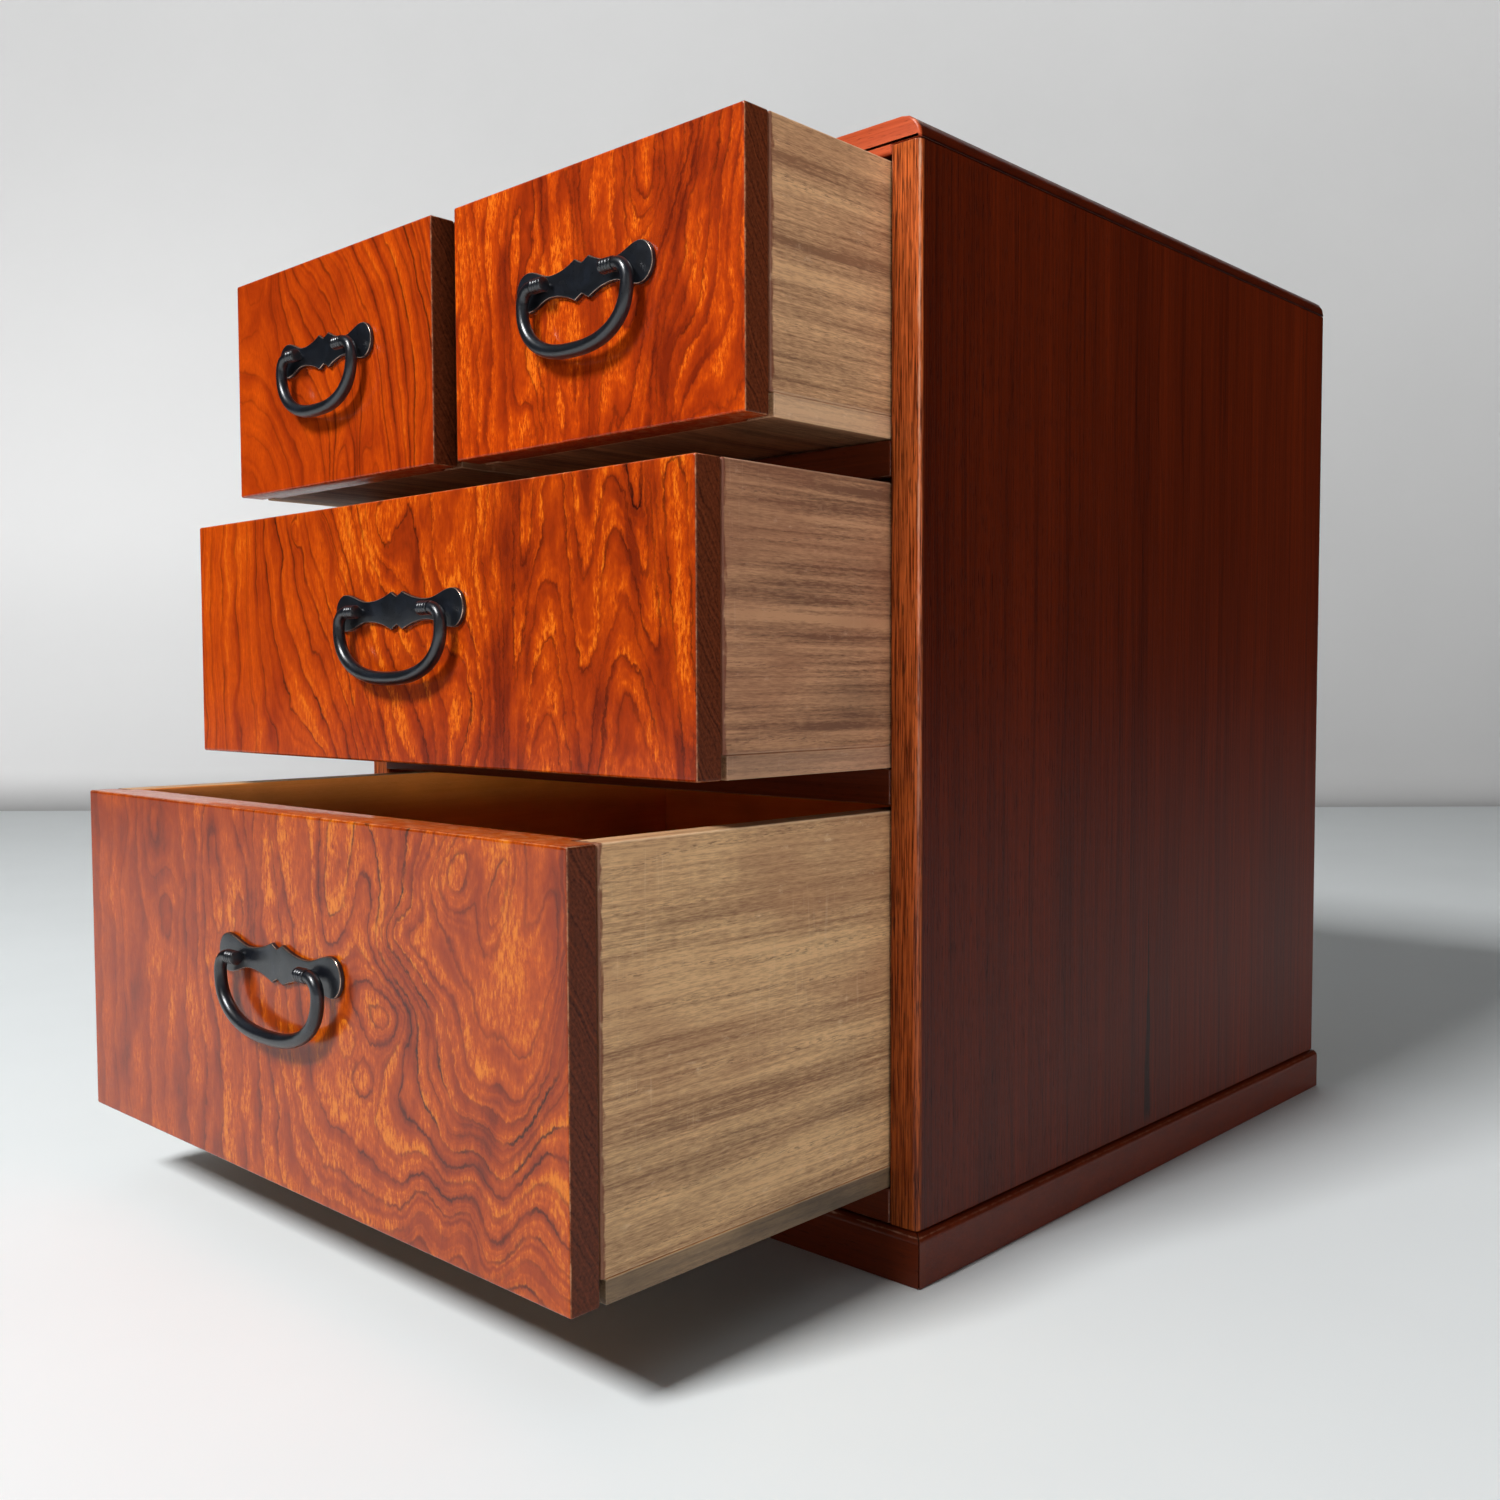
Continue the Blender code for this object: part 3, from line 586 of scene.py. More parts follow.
for side in ("left", "right"):
    sideBoard(side)
topBoard()
for side in ("front", "left", "right", "rear"):
    plinthRail(side)
innerFace = boxOf("right_side_board")[0][0] - caseForm["shelfGap"]
for node in ("bottom_board", "lower_shelf", "upper_shelf"):
    shell = plainBoard(node, 0, caseForm["edgeArris"], (-innerFace, innerFace))
    makePiece(node, "case", shelfWood, [shell])
shell = plainBoard("top_row_divider", 2, caseForm["dividerArris"])
makePiece("top_row_divider", "case", shelfWood, [shell])
grid, marks = plainBoard("back_panel", 2, caseForm["fineArris"])
marks.update(bleed=noBleed, tint=caseForm["backTint"])
makePiece("back_panel", "case", backWood, [(grid, marks)])
print("case made")

# Ring figure of each front, in mm from its lower left corner. Waves first bend x and z, and slants
# (x, z, half width, lean) turn x into u = x + lean * bell * (z - z0). Then rings = lean * min(u, stop)
# + climbs (x, half width, rate, top): rate * min(z, top) * bell
# + bows (x, z, half width, half height, rings): rings * (dx^2 + dz^2)^0.75
# + hills (the same five, with u for x): rings * bell(du) * bell(dz), where bell(t) = exp(-t^2).
# Lines and mottles give the strength of both at even steps from left to right. Streaks (x, z, half width,
# half height, lean, lift) add broad tones: lift * bell(dx - lean * dz) * bell(dz).
figures = dict(
    top_left=dict(
        seed=15, brown=0.3, warp=1.0, lean=0.0, stop=900, lines=(0.5, 0.7, 0.9), mottles=(0.2, 0.25, 0.3),
        slants=[], climbs=[], bows=[(4, -6, 60, 74, 5.5)],
        hills=[
            (17, 96, 18, 22, -5), (76, 0, 7, 14, 2.2), (92, 0, 6, 16, 2.0), (84, 4, 4, 12, -1.4),
            (126, 0, 8, 22, 1.6), (44, 40, 14, 18, 1.0)],
        streaks=[
            (60, 50, 90, 90, 0, -0.12), (14, 70, 18, 6, 0, -0.14), (90, 12, 14, 9, 0, -0.18),
            (110, 50, 20, 40, 0, 0.1)]),
    top_right=dict(
        seed=11, brown=0.2, warp=1.7, lean=0.16, stop=900, lines=(0.5, 0.55, 0.7), mottles=(0.8, 0.9, 0.8),
        slants=[(112, 40, 18, -0.45)], climbs=[(92, 12, -0.06, 200)], bows=[],
        hills=[
            (16, 40, 10, 90, 0.8), (34, 60, 4, 40, 1.2), (48, 66, 4, 30, 1.4), (60, 70, 5, 26, -1.2),
            (40, 2, 6, 12, -2.0), (92, 76, 8, 20, -2.4), (64, 20, 7, 40, -1.4), (54, 14, 5, 24, 1.2),
            (78, 40, 5, 80, 1.0)],
        streaks=[
            (70, 40, 90, 90, 0, -0.08), (10, 40, 6, 24, 0.1, 0.22), (34, 28, 6, 10, -0.3, 0.26),
            (30, 64, 6, 16, 0.15, -0.26), (48, 78, 5, 10, 0, -0.26), (26, 20, 5, 14, 0, -0.18),
            (52, 66, 4, 10, 0, 0.26), (88, 60, 4, 12, 0.2, 0.22), (109, 50, 3, 40, 0.2, -0.22),
            (115, 36, 3, 36, 0.2, 0.18), (121, 36, 3, 40, 0.2, -0.22), (127, 24, 4, 24, 0.12, 0.22),
            (58, 8, 6, 14, 0, -0.22), (38, 6, 6, 6, 0, 0.22), (96, 10, 4, 12, 0, 0.22)]),
    middle=dict(
        seed=4, brown=0.4, warp=1.3, lean=0.11, stop=196,
        lines=(1.0, 0.9, 0.7, 0.9, 1.0), mottles=(0.1, 0.25, 0.8, 0.9, 0.8),
        slants=[(96, 55, 34, 0.62), (205, 44, 10, -0.12), (264, 44, 12, 0.22)],
        climbs=[(217, 17, 0.04, 200), (249, 16, 0.05, 200), (140, 24, 0.03, 200)], bows=[],
        hills=[
            (30, 50, 30, 60, 0.6), (80, 79, 4, 5, 1.4), (118, 60, 20, 60, 0.5), (106, 82, 6, 20, -1.2),
            (134, 80, 8, 16, 1.5), (150, 6, 14, 26, -1.6), (166, 78, 9, 26, 1.4), (176, 20, 9, 18, -1.4),
            (188, 66, 7, 20, 1.3), (202, 40, 9, 200, 3.6), (234, 40, 9, 200, 3.0), (264, 40, 9, 200, 3.4),
            (284, 60, 6, 200, 3.0), (216, 66, 9, 12, 0.8), (247, 24, 9, 12, -0.8)],
        streaks=[
            (220, 44, 70, 90, 0, -0.14), (24, 44, 30, 90, 0, 0.12), (55, 13, 5, 14, 0.3, -0.3),
            (82, 48, 20, 30, -0.6, -0.14), (106, 75, 5, 18, 0, 0.3), (120, 75, 7, 14, 0, 0.26),
            (153, 78, 11, 14, 0.5, -0.3), (188, 80, 5, 14, 0, 0.3), (192, 48, 5, 14, 0.1, 0.3),
            (170, 12, 8, 10, 0, 0.3), (196, 40, 6, 70, 0.14, -0.36), (221, 36, 6, 18, 0, 0.3),
            (222, 78, 3, 14, 0, -0.22), (236, 50, 3, 60, 0, -0.22), (261, 44, 4, 70, -0.28, -0.36),
            (268, 50, 4, 34, -0.28, 0.4), (278, 10, 5, 30, 0, -0.26)]),
    bottom=dict(
        seed=7, brown=1.0, warp=1.4, lean=0.075, stop=150,
        lines=(0.35, 0.4, 0.6, 1.0, 1.0), mottles=(0.35, 0.55, 0.8, 0.7, 0.5),
        slants=[(240, 20, 40, -0.35)], climbs=[(250, 46, 0.19, 58), (180, 40, 0.1, 42)], bows=[],
        hills=[
            (50, 112, 12, 22, 1.8), (64, 80, 9, 18, -1.6), (28, 60, 9, 50, 0.8), (96, 92, 8, 30, 1.6),
            (114, 84, 8, 26, -1.6), (126, 92, 7, 24, 1.3), (142, 104, 9, 26, 1.6), (203, 107, 7.5, 11, 2.4),
            (226, 107, 7, 11, 2.2), (188, 62, 24, 28, -3.2), (194, 88, 7, 6, 1.5), (192, 66, 9, 9, -2.2),
            (186, 44, 7, 6, -1.6), (176, 54, 6, 8, 1.2), (170, 104, 8, 20, 1.8), (183, 102, 7, 22, -1.6),
            (199, 82, 12, 12, 1.6), (218, 10, 9, 40, -1.4), (238, 20, 8, 50, -1.5), (266, 30, 11, 50, -2.0),
            (261, 96, 10, 40, 2.4)],
        streaks=[
            (50, 60, 80, 90, 0, -0.16), (2, 112, 8, 20, 0, -0.3), (55, 95, 7, 22, 0.35, -0.3),
            (29, 36, 6, 30, 0.4, -0.26), (22, 78, 4, 16, 0, 0.26), (66, 105, 5, 12, 0.2, 0.22),
            (62, 48, 4, 14, 0.1, 0.3), (86, 50, 5, 16, 0, 0.26), (96, 106, 6, 14, 0, -0.26),
            (113, 113, 5, 8, 0, -0.3), (155, 106, 6, 12, 0, -0.22), (136, 92, 5, 14, 0, 0.3),
            (171, 100, 6, 20, 0, 0.4), (90, 20, 6, 26, 0.3, -0.26), (104, 12, 5, 16, 0.1, 0.3),
            (166, 34, 9, 10, 0, 0.26), (196, 88, 6, 5, -0.6, 0.3), (194, 66, 8, 10, 0, 0.36),
            (185, 44, 5, 6, 0, 0.3), (208, 60, 5, 20, 0, -0.22), (232, 109, 5, 8, 0, 0.36),
            (213, 113, 5, 10, 0, -0.26), (244, 108, 3, 14, 0, -0.26), (255, 88, 7, 14, 0, 0.36),
            (277, 100, 5, 30, 0, -0.36), (244, 32, 5, 26, 0.35, -0.3), (219, 15, 6, 20, 0.3, -0.3),
            (268, 48, 6, 6, 0, 0.36), (222, 32, 5, 6, 0, 0.26)]))


def bell(t):
    return np.exp(-t * t)


# the smaller of two lengths, with a soft bend between them
def softMin(value, top, bend=6.0):
    return top - bend * np.logaddexp(0, (top - value) / bend)


# a sum of sine waves in seeded directions
def waves(x, z, seed, size, amount, count=5):
    chance = np.random.default_rng(seed)
    turn, start = chance.uniform(0, 2 * math.pi, (2, count))
    pace = 2 * math.pi / (size * chance.uniform(0.7, 1.6, count))
    total = 0
    for k in range(count):
        total = total + np.sin(pace[k] * (x * np.cos(turn[k]) + 0.6 * z * np.sin(turn[k])) + start[k])
    return amount * total / math.sqrt(count)


def ringField(x, z, figure):
    seed, warp = figure["seed"], figure["warp"]
    x, z = x + waves(x, z, seed, 34, warp), z + waves(x, z, seed + 1, 30, warp)
    x = x + waves(x, z, seed + 2, 11, warp * 0.3)
    u = x
    for slantX, slantZ, width, lean in figure["slants"]:
        u = u + lean * bell((x - slantX) / width) * (z - slantZ)
    rings = figure["lean"] * softMin(u, figure["stop"])
    for climbX, width, rate, top in figure["climbs"]:
        rings = rings + rate * softMin(z, top) * bell((x - climbX) / width)
    for bowX, bowZ, width, height, lift in figure["bows"]:
        rings = rings + lift * (((x - bowX) / width) ** 2 + ((z - bowZ) / height) ** 2) ** 0.75
    for hillX, hillZ, width, height, lift in figure["hills"]:
        rings = rings + lift * bell((u - hillX) / width) * bell((z - hillZ) / height)
    return rings


def streakField(x, z, figure):
    seed = figure["seed"]
    x, z = x + waves(x, z, seed + 3, 20, 2.4), z + waves(x, z, seed + 4, 20, 2.4)
    tone = 0
    for streakX, streakZ, width, height, lean, lift in figure["streaks"]:
        tone = tone + lift * bell((x - streakX - lean * (z - streakZ)) / width) * bell((z - streakZ) / height)
    return tone


# A front is rabbeted at both ends and along its sill. Its marks are sampled on a grid, slope between limits.
# End grain shows on the skin of both ends and behind the face, and the cap marks are those of the plain
# upper and lower edge, pale partly from rubbing and partly as a painted highlight.
frontForm = dict(
    arris=0.8 * mm, rabbetArris=0.1 * mm, endDepth=9.9 * mm, sideRabbet=9.8 * mm, sillDepth=11.5 * mm,
    sillHeight=6.9 * mm, grid=1.0 * mm, reach=0.2, slopes=(0.05, 0.6), endSkin=0.3 * mm, faceSkin=1.5 * mm,
    cap=dict(ring=0.3, slope=0.05, line=0.0, mottle=0.4, tone=0.2, endGrain=0.08, edge=0.9))


def drawerFront(name):
    form, figure = frontForm, figures[name]
    drawer = name + "_drawer"
    node = drawer + "_front"
    low, high = boxOf(node)
    face = low[1]
    endY = face + form["endDepth"]
    innerLow, innerHigh = low[0] + form["sideRabbet"], high[0] - form["sideRabbet"]
    corners = [(low[0], face), (high[0], face), (high[0], endY), (innerHigh, endY), (innerHigh, high[1]),
               (innerLow, high[1]), (innerLow, endY), (low[0], endY)]
    arris, rabbet = form["arris"], form["rabbetArris"]
    radii = [arris] * 3 + [rabbet, arris, arris, rabbet, arris]
    columns = round((high[0] - low[0]) / form["grid"])
    rows = round((high[2] - low[2]) / form["grid"])
    sill = low[2] + form["sillHeight"]
    grid, marks = board(corners, radii, 2, low[2], high[2], arris, {0: columns}, rows, (sill, sill))
    # below the sill the rear face makes room for the drawer's bottom
    stepRow = np.flatnonzero(grid[:, 0, 2] == sill)[0]
    below = grid[:stepRow + 1, :, 1]
    np.minimum(below, face + form["sillDepth"], out=below)
    x, y, z = np.moveaxis(grid, 2, 0)
    u, v, reach = (x - low[0]) / mm, (z - low[2]) / mm, form["reach"]
    rings = ringField(u, v, figure)
    climb = np.hypot(ringField(u + reach, v, figure) - rings, ringField(u, v + reach, figure) - rings) / reach
    share = (x - low[0]) / (high[0] - low[0])
    marks["ring"] = rings
    marks["slope"] = np.clip(climb, *form["slopes"])
    marks["tone"] = streakField(u, v, figure)
    marks["brown"] = figure["brown"]
    for mark in ("line", "mottle"):
        strengths = figure[mark + "s"]
        marks[mark] = np.interp(share, np.linspace(0, 1, len(strengths)), strengths)
    nearEnd = np.minimum(x - low[0], high[0] - x)
    marks["endGrain"] = np.maximum(nearEnd < form["endSkin"], y > face + form["faceSkin"]) * 1.0
    # the caps take the cap marks: a pale rubbed edge that is partly a painted highlight
    for mark, value in form["cap"].items():
        marks[mark] = np.broadcast_to(marks[mark], x.shape).copy()
        marks[mark][[0, -1]] = value
    makePiece(node, drawer, frontLacquer, [(grid, marks)])


# Each box's own wood: brightness, redness and how strongly it is streaked
boxLooks = dict(
    top_left=dict(tint=1.0, rose=0.4, streaky=0.4), top_right=dict(tint=1.08, rose=0.45, streaky=0.5),
    middle=dict(tint=0.82, rose=1.0, streaky=0.9), bottom=dict(tint=1.16, rose=0.0, streaky=0.0))
# Each board of a box: its axis, the axis and end (-1 low, 1 high) of its inner face, and its arris
boxParts = dict(_left_side=(1, 0, 1, 0.7 * mm), _right_side=(1, 0, -1, 0.7 * mm), _back=(0, 1, -1, 0.5 * mm),
                _bottom=(0, 2, 1, 0.5 * mm))
# A bottom is lifted to close up to the sides above it and is a little darker; the lowest one is darker
# still on its underside as painted shade, which keeps the floor shadow under it dark
bottomForm = dict(lift=0.26 * mm, tint=0.94, inner=0.94, under=dict(bottom=0.4))
innerSkin = 0.3 * mm


# A board of a drawer's box, with the inner mark on its inner face
def boxBoard(name, part, axis, innerAxis, innerEnd, radius):
    drawer = name + "_drawer"
    low, high = boxOf(drawer + part)
    grid, marks = plainBoard(drawer + part, axis, radius)
    inner = (high if innerEnd > 0 else low)[innerAxis]
    near = np.abs(grid[..., innerAxis] - inner) < innerSkin
    marks.update(boxLooks[name], inner=near * 1.0)
    marks["bleed"] = (grid[..., 1] - low[1]) / mm if axis == 1 else noBleed
    if part == "_bottom":
        grid[..., 2] += near * bottomForm["lift"]
        marks["inner"] *= bottomForm["inner"]
        # painted shade: the lowest bottom's underside is darkened
        marks["tint"] *= bottomForm["tint"] * np.where(near, 1, bottomForm["under"].get(name, 1))
    finish = paleAlongX if part == "_back" else paleAlongY
    makePiece(drawer + part, drawer, finish, [(grid, marks)])


for name in drawerNames:
    drawerFront(name)
    for part, form in boxParts.items():
        boxBoard(name, part, *form)
print("drawers made")

# Handles: plate, two posts and a bail about the pivot line, in mm from the pivot's middle. Crown and wear are
# shares, and so are crownLength, grooves and grooveWidth, of the barrel's half length.
handleForm = dict(
    plateOver=15.5, plateHalf=6.35, waist=3.5, lobe=6.0, point=3.3, notch=1.6, plateThick=1.3, plateEdge=0.45,
    barrelRadius=2.3, barrelHalf=2.8, crown=0.12, crownLength=0.09, grooves=(-0.45, 0, 0.45),
    grooveWidth=0.07, grooveDepth=0.22, tip=0.05, wear=0.6, rimWear=0.3, boreRadius=1.2, boreDepth=4.6,
    stemRadius=1.4, stemSink=0.6, clinchHalf=7.0, clinchWidth=3.4, clinchThick=1.2, clinchArris=0.3,
    bailSplay=8.2, bailRadius=2.3, bailEndRadius=2.0, shoulderGap=0.4, shoulder=0.02, pinRadius=0.9,
    pinEnd=1.3, squareness=2.4)


# Half height of the bat-shaped plate at x from its middle: a notch up to the point, a wing that dips to the
# waist by (1 - 2 s)^2 and rises by cos(pi s)^2, and a round lobe, the root of 1 - ((x - lobe) / radius)^2
def plateHeight(x, lobeX):
    h = handleForm
    share = np.clip((x - h["point"]) / (lobeX - h["point"]), 0, 1)
    dip = np.where(share < 0.5, (1 - 2 * share) ** 2, np.cos(math.pi * share) ** 2)
    wing = h["waist"] + (h["plateHalf"] - h["waist"]) * dip
    notch = h["plateHalf"] - h["notch"] * (1 - x / h["point"])
    lobe = h["plateHalf"] * np.sqrt(np.clip(1 - ((x - lobeX) / h["lobe"]) ** 2, 0, 1))
    return np.where(x < h["point"], notch, np.where(x < lobeX, wing, lobe))


# The plate is its outline carried forwards and drawn in at the front edge:
# inset = edge * (1 - cos(a)), depth = thickness - edge + edge * sin(a)
def plateShell(post, centre, back):
    h = handleForm
    lobeX = post + h["plateOver"] - h["lobe"]
    a = quarter(13)[1:]
    half = np.concatenate([np.linspace(0, h["point"], 5), np.linspace(h["point"], lobeX, 25)[1:],
                           lobeX + h["lobe"] * np.sin(a)])
    x = np.concatenate([-half[:0:-1], half])
    upper = np.stack([x, plateHeight(np.abs(x), lobeX)], 1)
    outline = np.concatenate([upper, upper[-2:0:-1] * (1, -1)])
    run = unit(np.roll(outline, -1, 0) - np.roll(outline, 1, 0))
    inward = np.stack([run[:, 1], -run[:, 0]], 1)
    a = quarter(5)
    inset = np.concatenate([[0], h["plateEdge"] * (1 - np.cos(a))])
    depth = np.concatenate([[0], h["plateThick"] - h["plateEdge"] + h["plateEdge"] * np.sin(a)])
    flat = outline + inset[:, None, None] * inward
    grid = np.stack([flat[..., 0], np.repeat(-depth[:, None], len(outline), 1), flat[..., 1]], -1) * mm
    edge = np.concatenate([[0], np.sin(2 * a)])[:, None]
    return grid + (centre[0], back, centre[2]), dict(edge=edge)


# Barrel with turned rings: its radius dips by a bell at each groove and is drawn in at both ends by a root.
# The far end is bored for the bail's pin.
def postShells(side, centre, insideY):
    h = handleForm
    s = np.linspace(-1, 1, 41)
    groove = sum(bell((s - spot) / h["grooveWidth"]) for spot in h["grooves"])
    crown = np.clip((1 - np.abs(s)) / h["crownLength"], 0, 1) ** 0.5
    radius = h["barrelRadius"] * (1 - h["crown"] * (1 - crown)) - h["grooveDepth"] * groove
    end, bored = h["barrelHalf"], h["barrelHalf"] - h["boreDepth"]
    profile = [(-end, h["tip"]), *zip(s * end, radius)]
    profile += [(end, h["boreRadius"]), (bored, h["boreRadius"]), (bored, h["tip"])]
    profile = np.array(profile) * mm
    profile[:, 0] *= side
    wear = h["wear"] * (1 - groove) * (crown < 0.95)
    wear = np.concatenate([[0], wear, [h["rimWear"], 0, 0]])[:, None]
    barrel = turned(profile, centre, 0)
    stemStart, stemEnd = (h["barrelRadius"] - h["stemSink"]) * mm, insideY - centre[1]
    stem = turned([(stemStart, h["stemRadius"] * mm), (stemEnd, h["stemRadius"] * mm)], centre, 1, 16)
    width, thick, reach, arris = [h["clinch" + k] * mm for k in ("Width", "Thick", "Half", "Arris")]
    corners = rectangle((centre[0] - width / 2, insideY), (centre[0] + width / 2, insideY + thick))
    legs = board(corners, [arris] * 4, 2, centre[2] - reach, centre[2] + reach, arris)
    return [(barrel, dict(edge=wear)), (stem, dict(edge=0.0)), legs]


# Bail: x = half * sin(t)^(2/n), z = -bend - (drop - bend) * cos(t)^(2/n), then a quarter turn in to each pin
def bailShell(post, drop, centre):
    h = handleForm
    half = post + h["bailSplay"]
    bend = h["bailSplay"] - h["barrelHalf"] - h["shoulderGap"]
    t = quarter(40)
    power = 2 / h["squareness"]
    bow = np.stack([half * np.sin(t) ** power, -bend - (drop - bend) * np.cos(t) ** power], 1)
    bowRadius = h["bailRadius"] + (h["bailEndRadius"] - h["bailRadius"]) * (2 * t / math.pi) ** 2
    a = quarter(10)[1:]
    turn = np.stack([half - bend + bend * np.cos(a), -bend + bend * np.sin(a)], 1)
    shoulder, tip = post + h["barrelHalf"] + h["shoulderGap"], post - h["barrelHalf"] + h["pinEnd"]
    pin = np.array([(shoulder - h["shoulder"], 0), (tip, 0)])
    line = np.concatenate([bow, turn, pin])
    radius = np.concatenate([bowRadius, np.full(len(turn), h["bailEndRadius"]), np.full(2, h["pinRadius"])])
    line = np.concatenate([line[:0:-1] * (-1, 1), line]) * mm
    radius = np.concatenate([radius[:0:-1], radius]) * mm
    return tube(line, radius, centre), dict(edge=0.0)


for name in drawerNames:
    drawer = name + "_drawer"
    leftPost, rightPost = [boxOf(drawer + side + "_handle_post") for side in ("_left", "_right")]
    leftX, rightX = [sum(box)[0] / 2 for box in (leftPost, rightPost)]
    post = (rightX - leftX) / 2 / mm
    plate = boxOf(drawer + "_handle_plate")
    pivotY = leftPost[0][1] + handleForm["barrelRadius"] * mm
    centre = np.array([(leftX + rightX) / 2, pivotY, sum(plate)[2] / 2])
    shell = plateShell(post, centre, plate[1][1])
    makePiece(drawer + "_handle_plate", drawer, handleIron, [shell])
    insideY = leftPost[1][1] - handleForm["clinchThick"] * mm
    for side, sign in (("_left", -1), ("_right", 1)):
        shells = postShells(sign, centre + (sign * post * mm, 0, 0), insideY)
        makePiece(drawer + side + "_handle_post", drawer, handleIron, shells)
    drop = (centre[2] - boxOf(drawer + "_bail")[0][2]) / mm - handleForm["bailRadius"]
    makePiece(drawer + "_bail", name + "_bail", handleIron, [bailShell(post, drop, centre)])
print("handles made")

# A wide floor, and a wall square to the camera's line of sight with a cove at its foot, no wider than the
# view. Sizes are in metres, only those of the paint's patches in mm.
stageForm = dict(
    wallAway=2.17, cove=0.06, wallHeight=2.2, wallHalf=1.35, floorHalf=9.0, floorDrop=0.05 * mm,
    floor=(242, 247, 248), wall=(188, 188, 188), roughness=0.7, bounce=0.4, sizes=dict(patch=(260, 260, 260)),
    patchDepth=0.08, shade=0.86, shadeRise=(0.1, 1.3), glow=0.27, glowSide=(-1.0, 0.5), glowRise=(0.3, 1.2))
camera = dict(place=(0.41858, -0.36135, 0.18989), yaw=43.0777, pitch=2.8404, roll=-0.1753, lens=34.996,
              sensor=36, near=0.01)
yaw, pitch, roll = [math.radians(camera[k]) for k in ("yaw", "pitch", "roll")]
levelAhead = np.array([-math.sin(yaw), math.cos(yaw), 0])
levelRight = np.array([math.cos(yaw), math.sin(yaw), 0])


# A sheet runs along the line of sight by run and up by rise, half as wide to each side
def makeSheet(name, run, rise, half, finish):
    span = np.array([-half, half])
    grid = camera["place"] + run[:, None, None] * levelAhead + span[None, :, None] * levelRight
    grid[..., 2] = rise[:, None]
    index = np.arange(len(run) * 2).reshape(-1, 2)
    quads = np.stack([index[:-1, 0], index[:-1, 1], index[1:, 1], index[1:, 0]], 1)
    sheet = meshItem(name, grid.reshape(-1, 3), quads.tolist(), finish)


# The paint is slightly patchy. It shows pale to the camera and in reflections, and throws back less light. It
# darkens up the wall in painted shade, and low on the left of the wall a faint painted glow lifts it.
def paintFinish(name, paint):
    s = stageForm
    f = Finish(name, s)
    patch = (f.noise("patch", 4, 0.6) - 0.5) * s["patchDepth"] + 1
    seen = f.node("ShaderNodeLightPath", output="Is Camera Ray")
    seen = seen.math("MAXIMUM", f.node("ShaderNodeLightPath", output="Is Glossy Ray"))
    right, height = (f.x * levelRight[0] + f.y * levelRight[1]) * mm, f.z * mm
    # painted shade: the paint darkens up the wall
    climb = 1 - f.step(height, *s["shadeRise"]) * (1 - s["shade"])
    level = seen * (1 - s["bounce"]) + s["bounce"]
    paint = f.shade(colour(paint), patch * climb * level)
    # painted glow: low on the left the wall gives off a little light
    lift = (1 - f.step(right, *s["glowSide"])) * (1 - f.step(height, *s["glowRise"]))
    lift = lift * f.step(height, 0.0, s["cove"]) * seen * s["glow"]
    sockets = {"Base Color": paint, "Roughness": s["roughness"], "Emission Strength": 1,
               "Emission Color": f.shade((1.0, 1.0, 1.0), lift)}
    return f.surface(sockets)


def makeStage():
    reach, cove, wall = stageForm["floorHalf"], stageForm["cove"], stageForm["wallAway"]
    floorPaint = paintFinish("floorPaint", stageForm["floor"])
    run, rise = np.array([-reach, reach]), np.full(2, -stageForm["floorDrop"])
    makeSheet("studioFloor", run, rise, reach, floorPaint)
    a = quarter(9)
    run = np.concatenate([wall - cove + cove * np.sin(a), [wall]])
    rise = np.concatenate([cove * (1 - np.cos(a)), [stageForm["wallHeight"]]])
    wallPaint = paintFinish("wallPaint", stageForm["wall"])
    makeSheet("studioWall", run, rise, stageForm["wallHalf"], wallPaint)


# A camera or lamp set at a place by its three axes
def putItem(name, data, right, up, back, place):
    item = bpy.data.objects.new(name, data)
    matrix = np.eye(4)
    matrix[:3] = np.stack([right, up, back, place], 1)
    item.matrix_world = Matrix(matrix.tolist())
    bpy.context.collection.objects.link(item)
    return item


def makeCamera():
    ahead = levelAhead * math.cos(pitch) - (0, 0, math.sin(pitch))
    up = np.cross(levelRight, ahead)
    right = math.cos(roll) * levelRight + math.sin(roll) * up
    up = math.cos(roll) * up - math.sin(roll) * levelRight
    data = bpy.data.cameras.new("photoCamera")
    data.sensor_width = camera["sensor"]
    data.lens = camera["lens"]
    data.clip_start = camera["near"]
    bpy.context.scene.camera = putItem("photoCamera", data, right, up, -ahead, camera["place"])


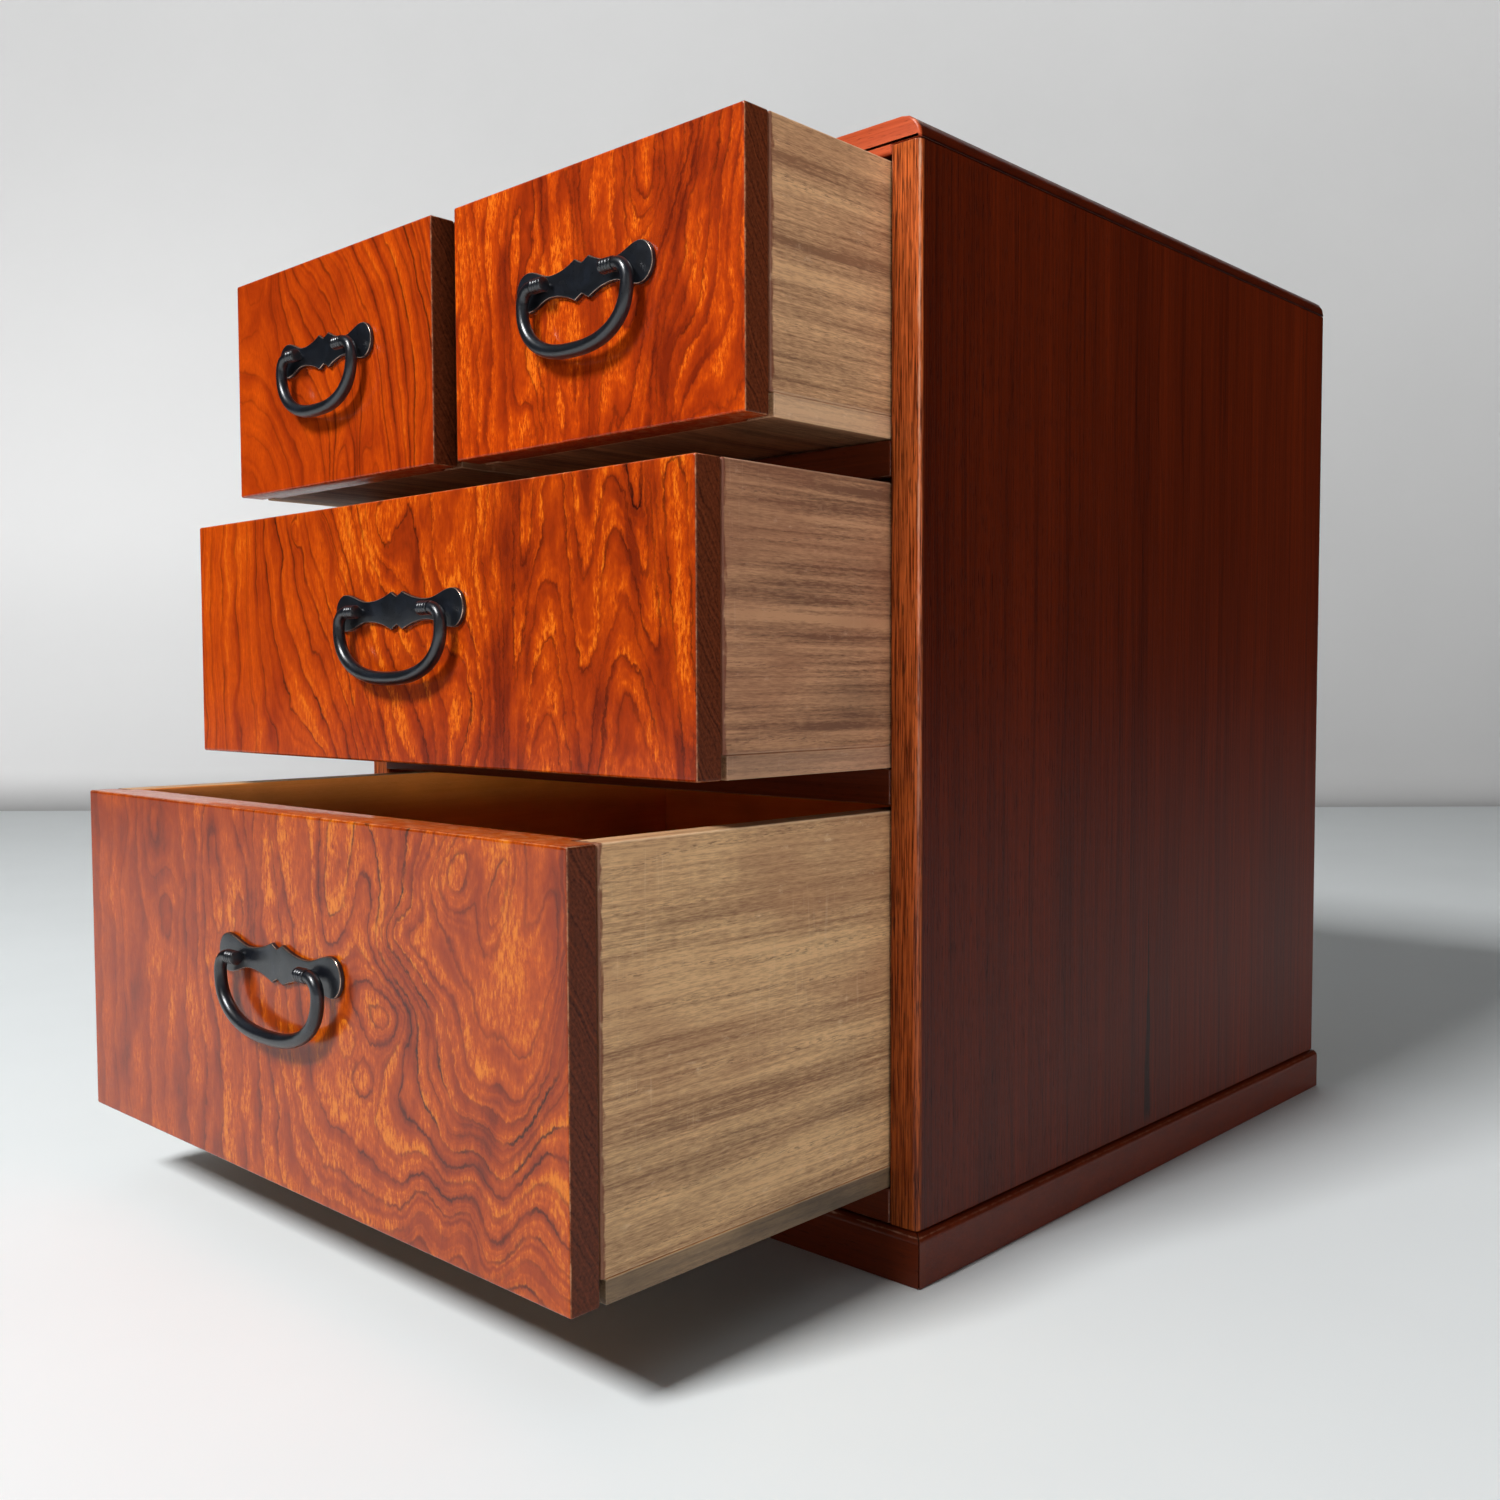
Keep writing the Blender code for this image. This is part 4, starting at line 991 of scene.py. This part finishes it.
# A key lamp from the front, above and a little to the left (power in watts, size in metres). The room adds a
# low bright strip on the right and a little light from the ceiling. Spreads and rises are limits of a step.
keyLamp = dict(place=(-0.15, -1.75, 1.85), target=(0, 0, 0.18), size=0.55, power=66)
skyLook = dict(backdrop=0.62, horizon=0.01, zenith=0.3, zenithRise=(0.6, 1.0), mirror=0.1, side=20.5,
               sideTurn=-14.0, sideSpread=(0.7, 0.97), sideRise=(0.015, 0.09))


def makeLamp():
    data = bpy.data.lights.new("key", "AREA")
    data.size = keyLamp["size"]
    data.energy = keyLamp["power"]
    back = unit(np.array(keyLamp["place"]) - keyLamp["target"])
    right = unit(np.cross([0, 0, 1], back))
    putItem("key", data, right, np.cross(back, right), back, keyLamp["place"])


# World: pale where the camera looks past the sheets, otherwise a dim room, dimmer still in reflections, with
# a lighter ceiling and the bright strip
def makeWorld():
    world = bpy.data.worlds.new("studioRoom")
    world.use_nodes = True
    w = Nodes(world.node_tree)
    ray = w.node("ShaderNodeTexCoord", output="Generated")
    seen = w.node("ShaderNodeLightPath", output="Is Camera Ray")
    mirrored = w.node("ShaderNodeLightPath", output="Is Glossy Ray")
    height = w.node("ShaderNodeSeparateXYZ", None, {0: ray}, "Z")
    ceiling = w.step(height, *skyLook["zenithRise"])
    room = ceiling * (skyLook["zenith"] - skyLook["horizon"]) + skyLook["horizon"]
    room = room * (1 - mirrored * (1 - skyLook["mirror"]))
    turn = math.radians(skyLook["sideTurn"])
    aim = {0: ray, 1: (math.cos(turn), math.sin(turn), 0)}
    toSide = w.node("ShaderNodeVectorMath", dict(operation="DOT_PRODUCT"), aim, "Value")
    strip = w.step(toSide, *skyLook["sideSpread"]) * (1 - w.step(height, *skyLook["sideRise"]))
    room = room + strip * (1 - mirrored) * skyLook["side"]
    glow = room + seen * (skyLook["backdrop"] - room)
    back = w.node("ShaderNodeBackground", None, {"Color": (1.0, 1.0, 1.0), "Strength": glow})
    w.node("ShaderNodeOutputWorld", None, {"Surface": back})
    bpy.context.scene.world = world


makeStage()
makeCamera()
makeLamp()
makeWorld()
bpy.context.scene.view_settings.view_transform = "Standard"
print("stage, camera and lamps set")
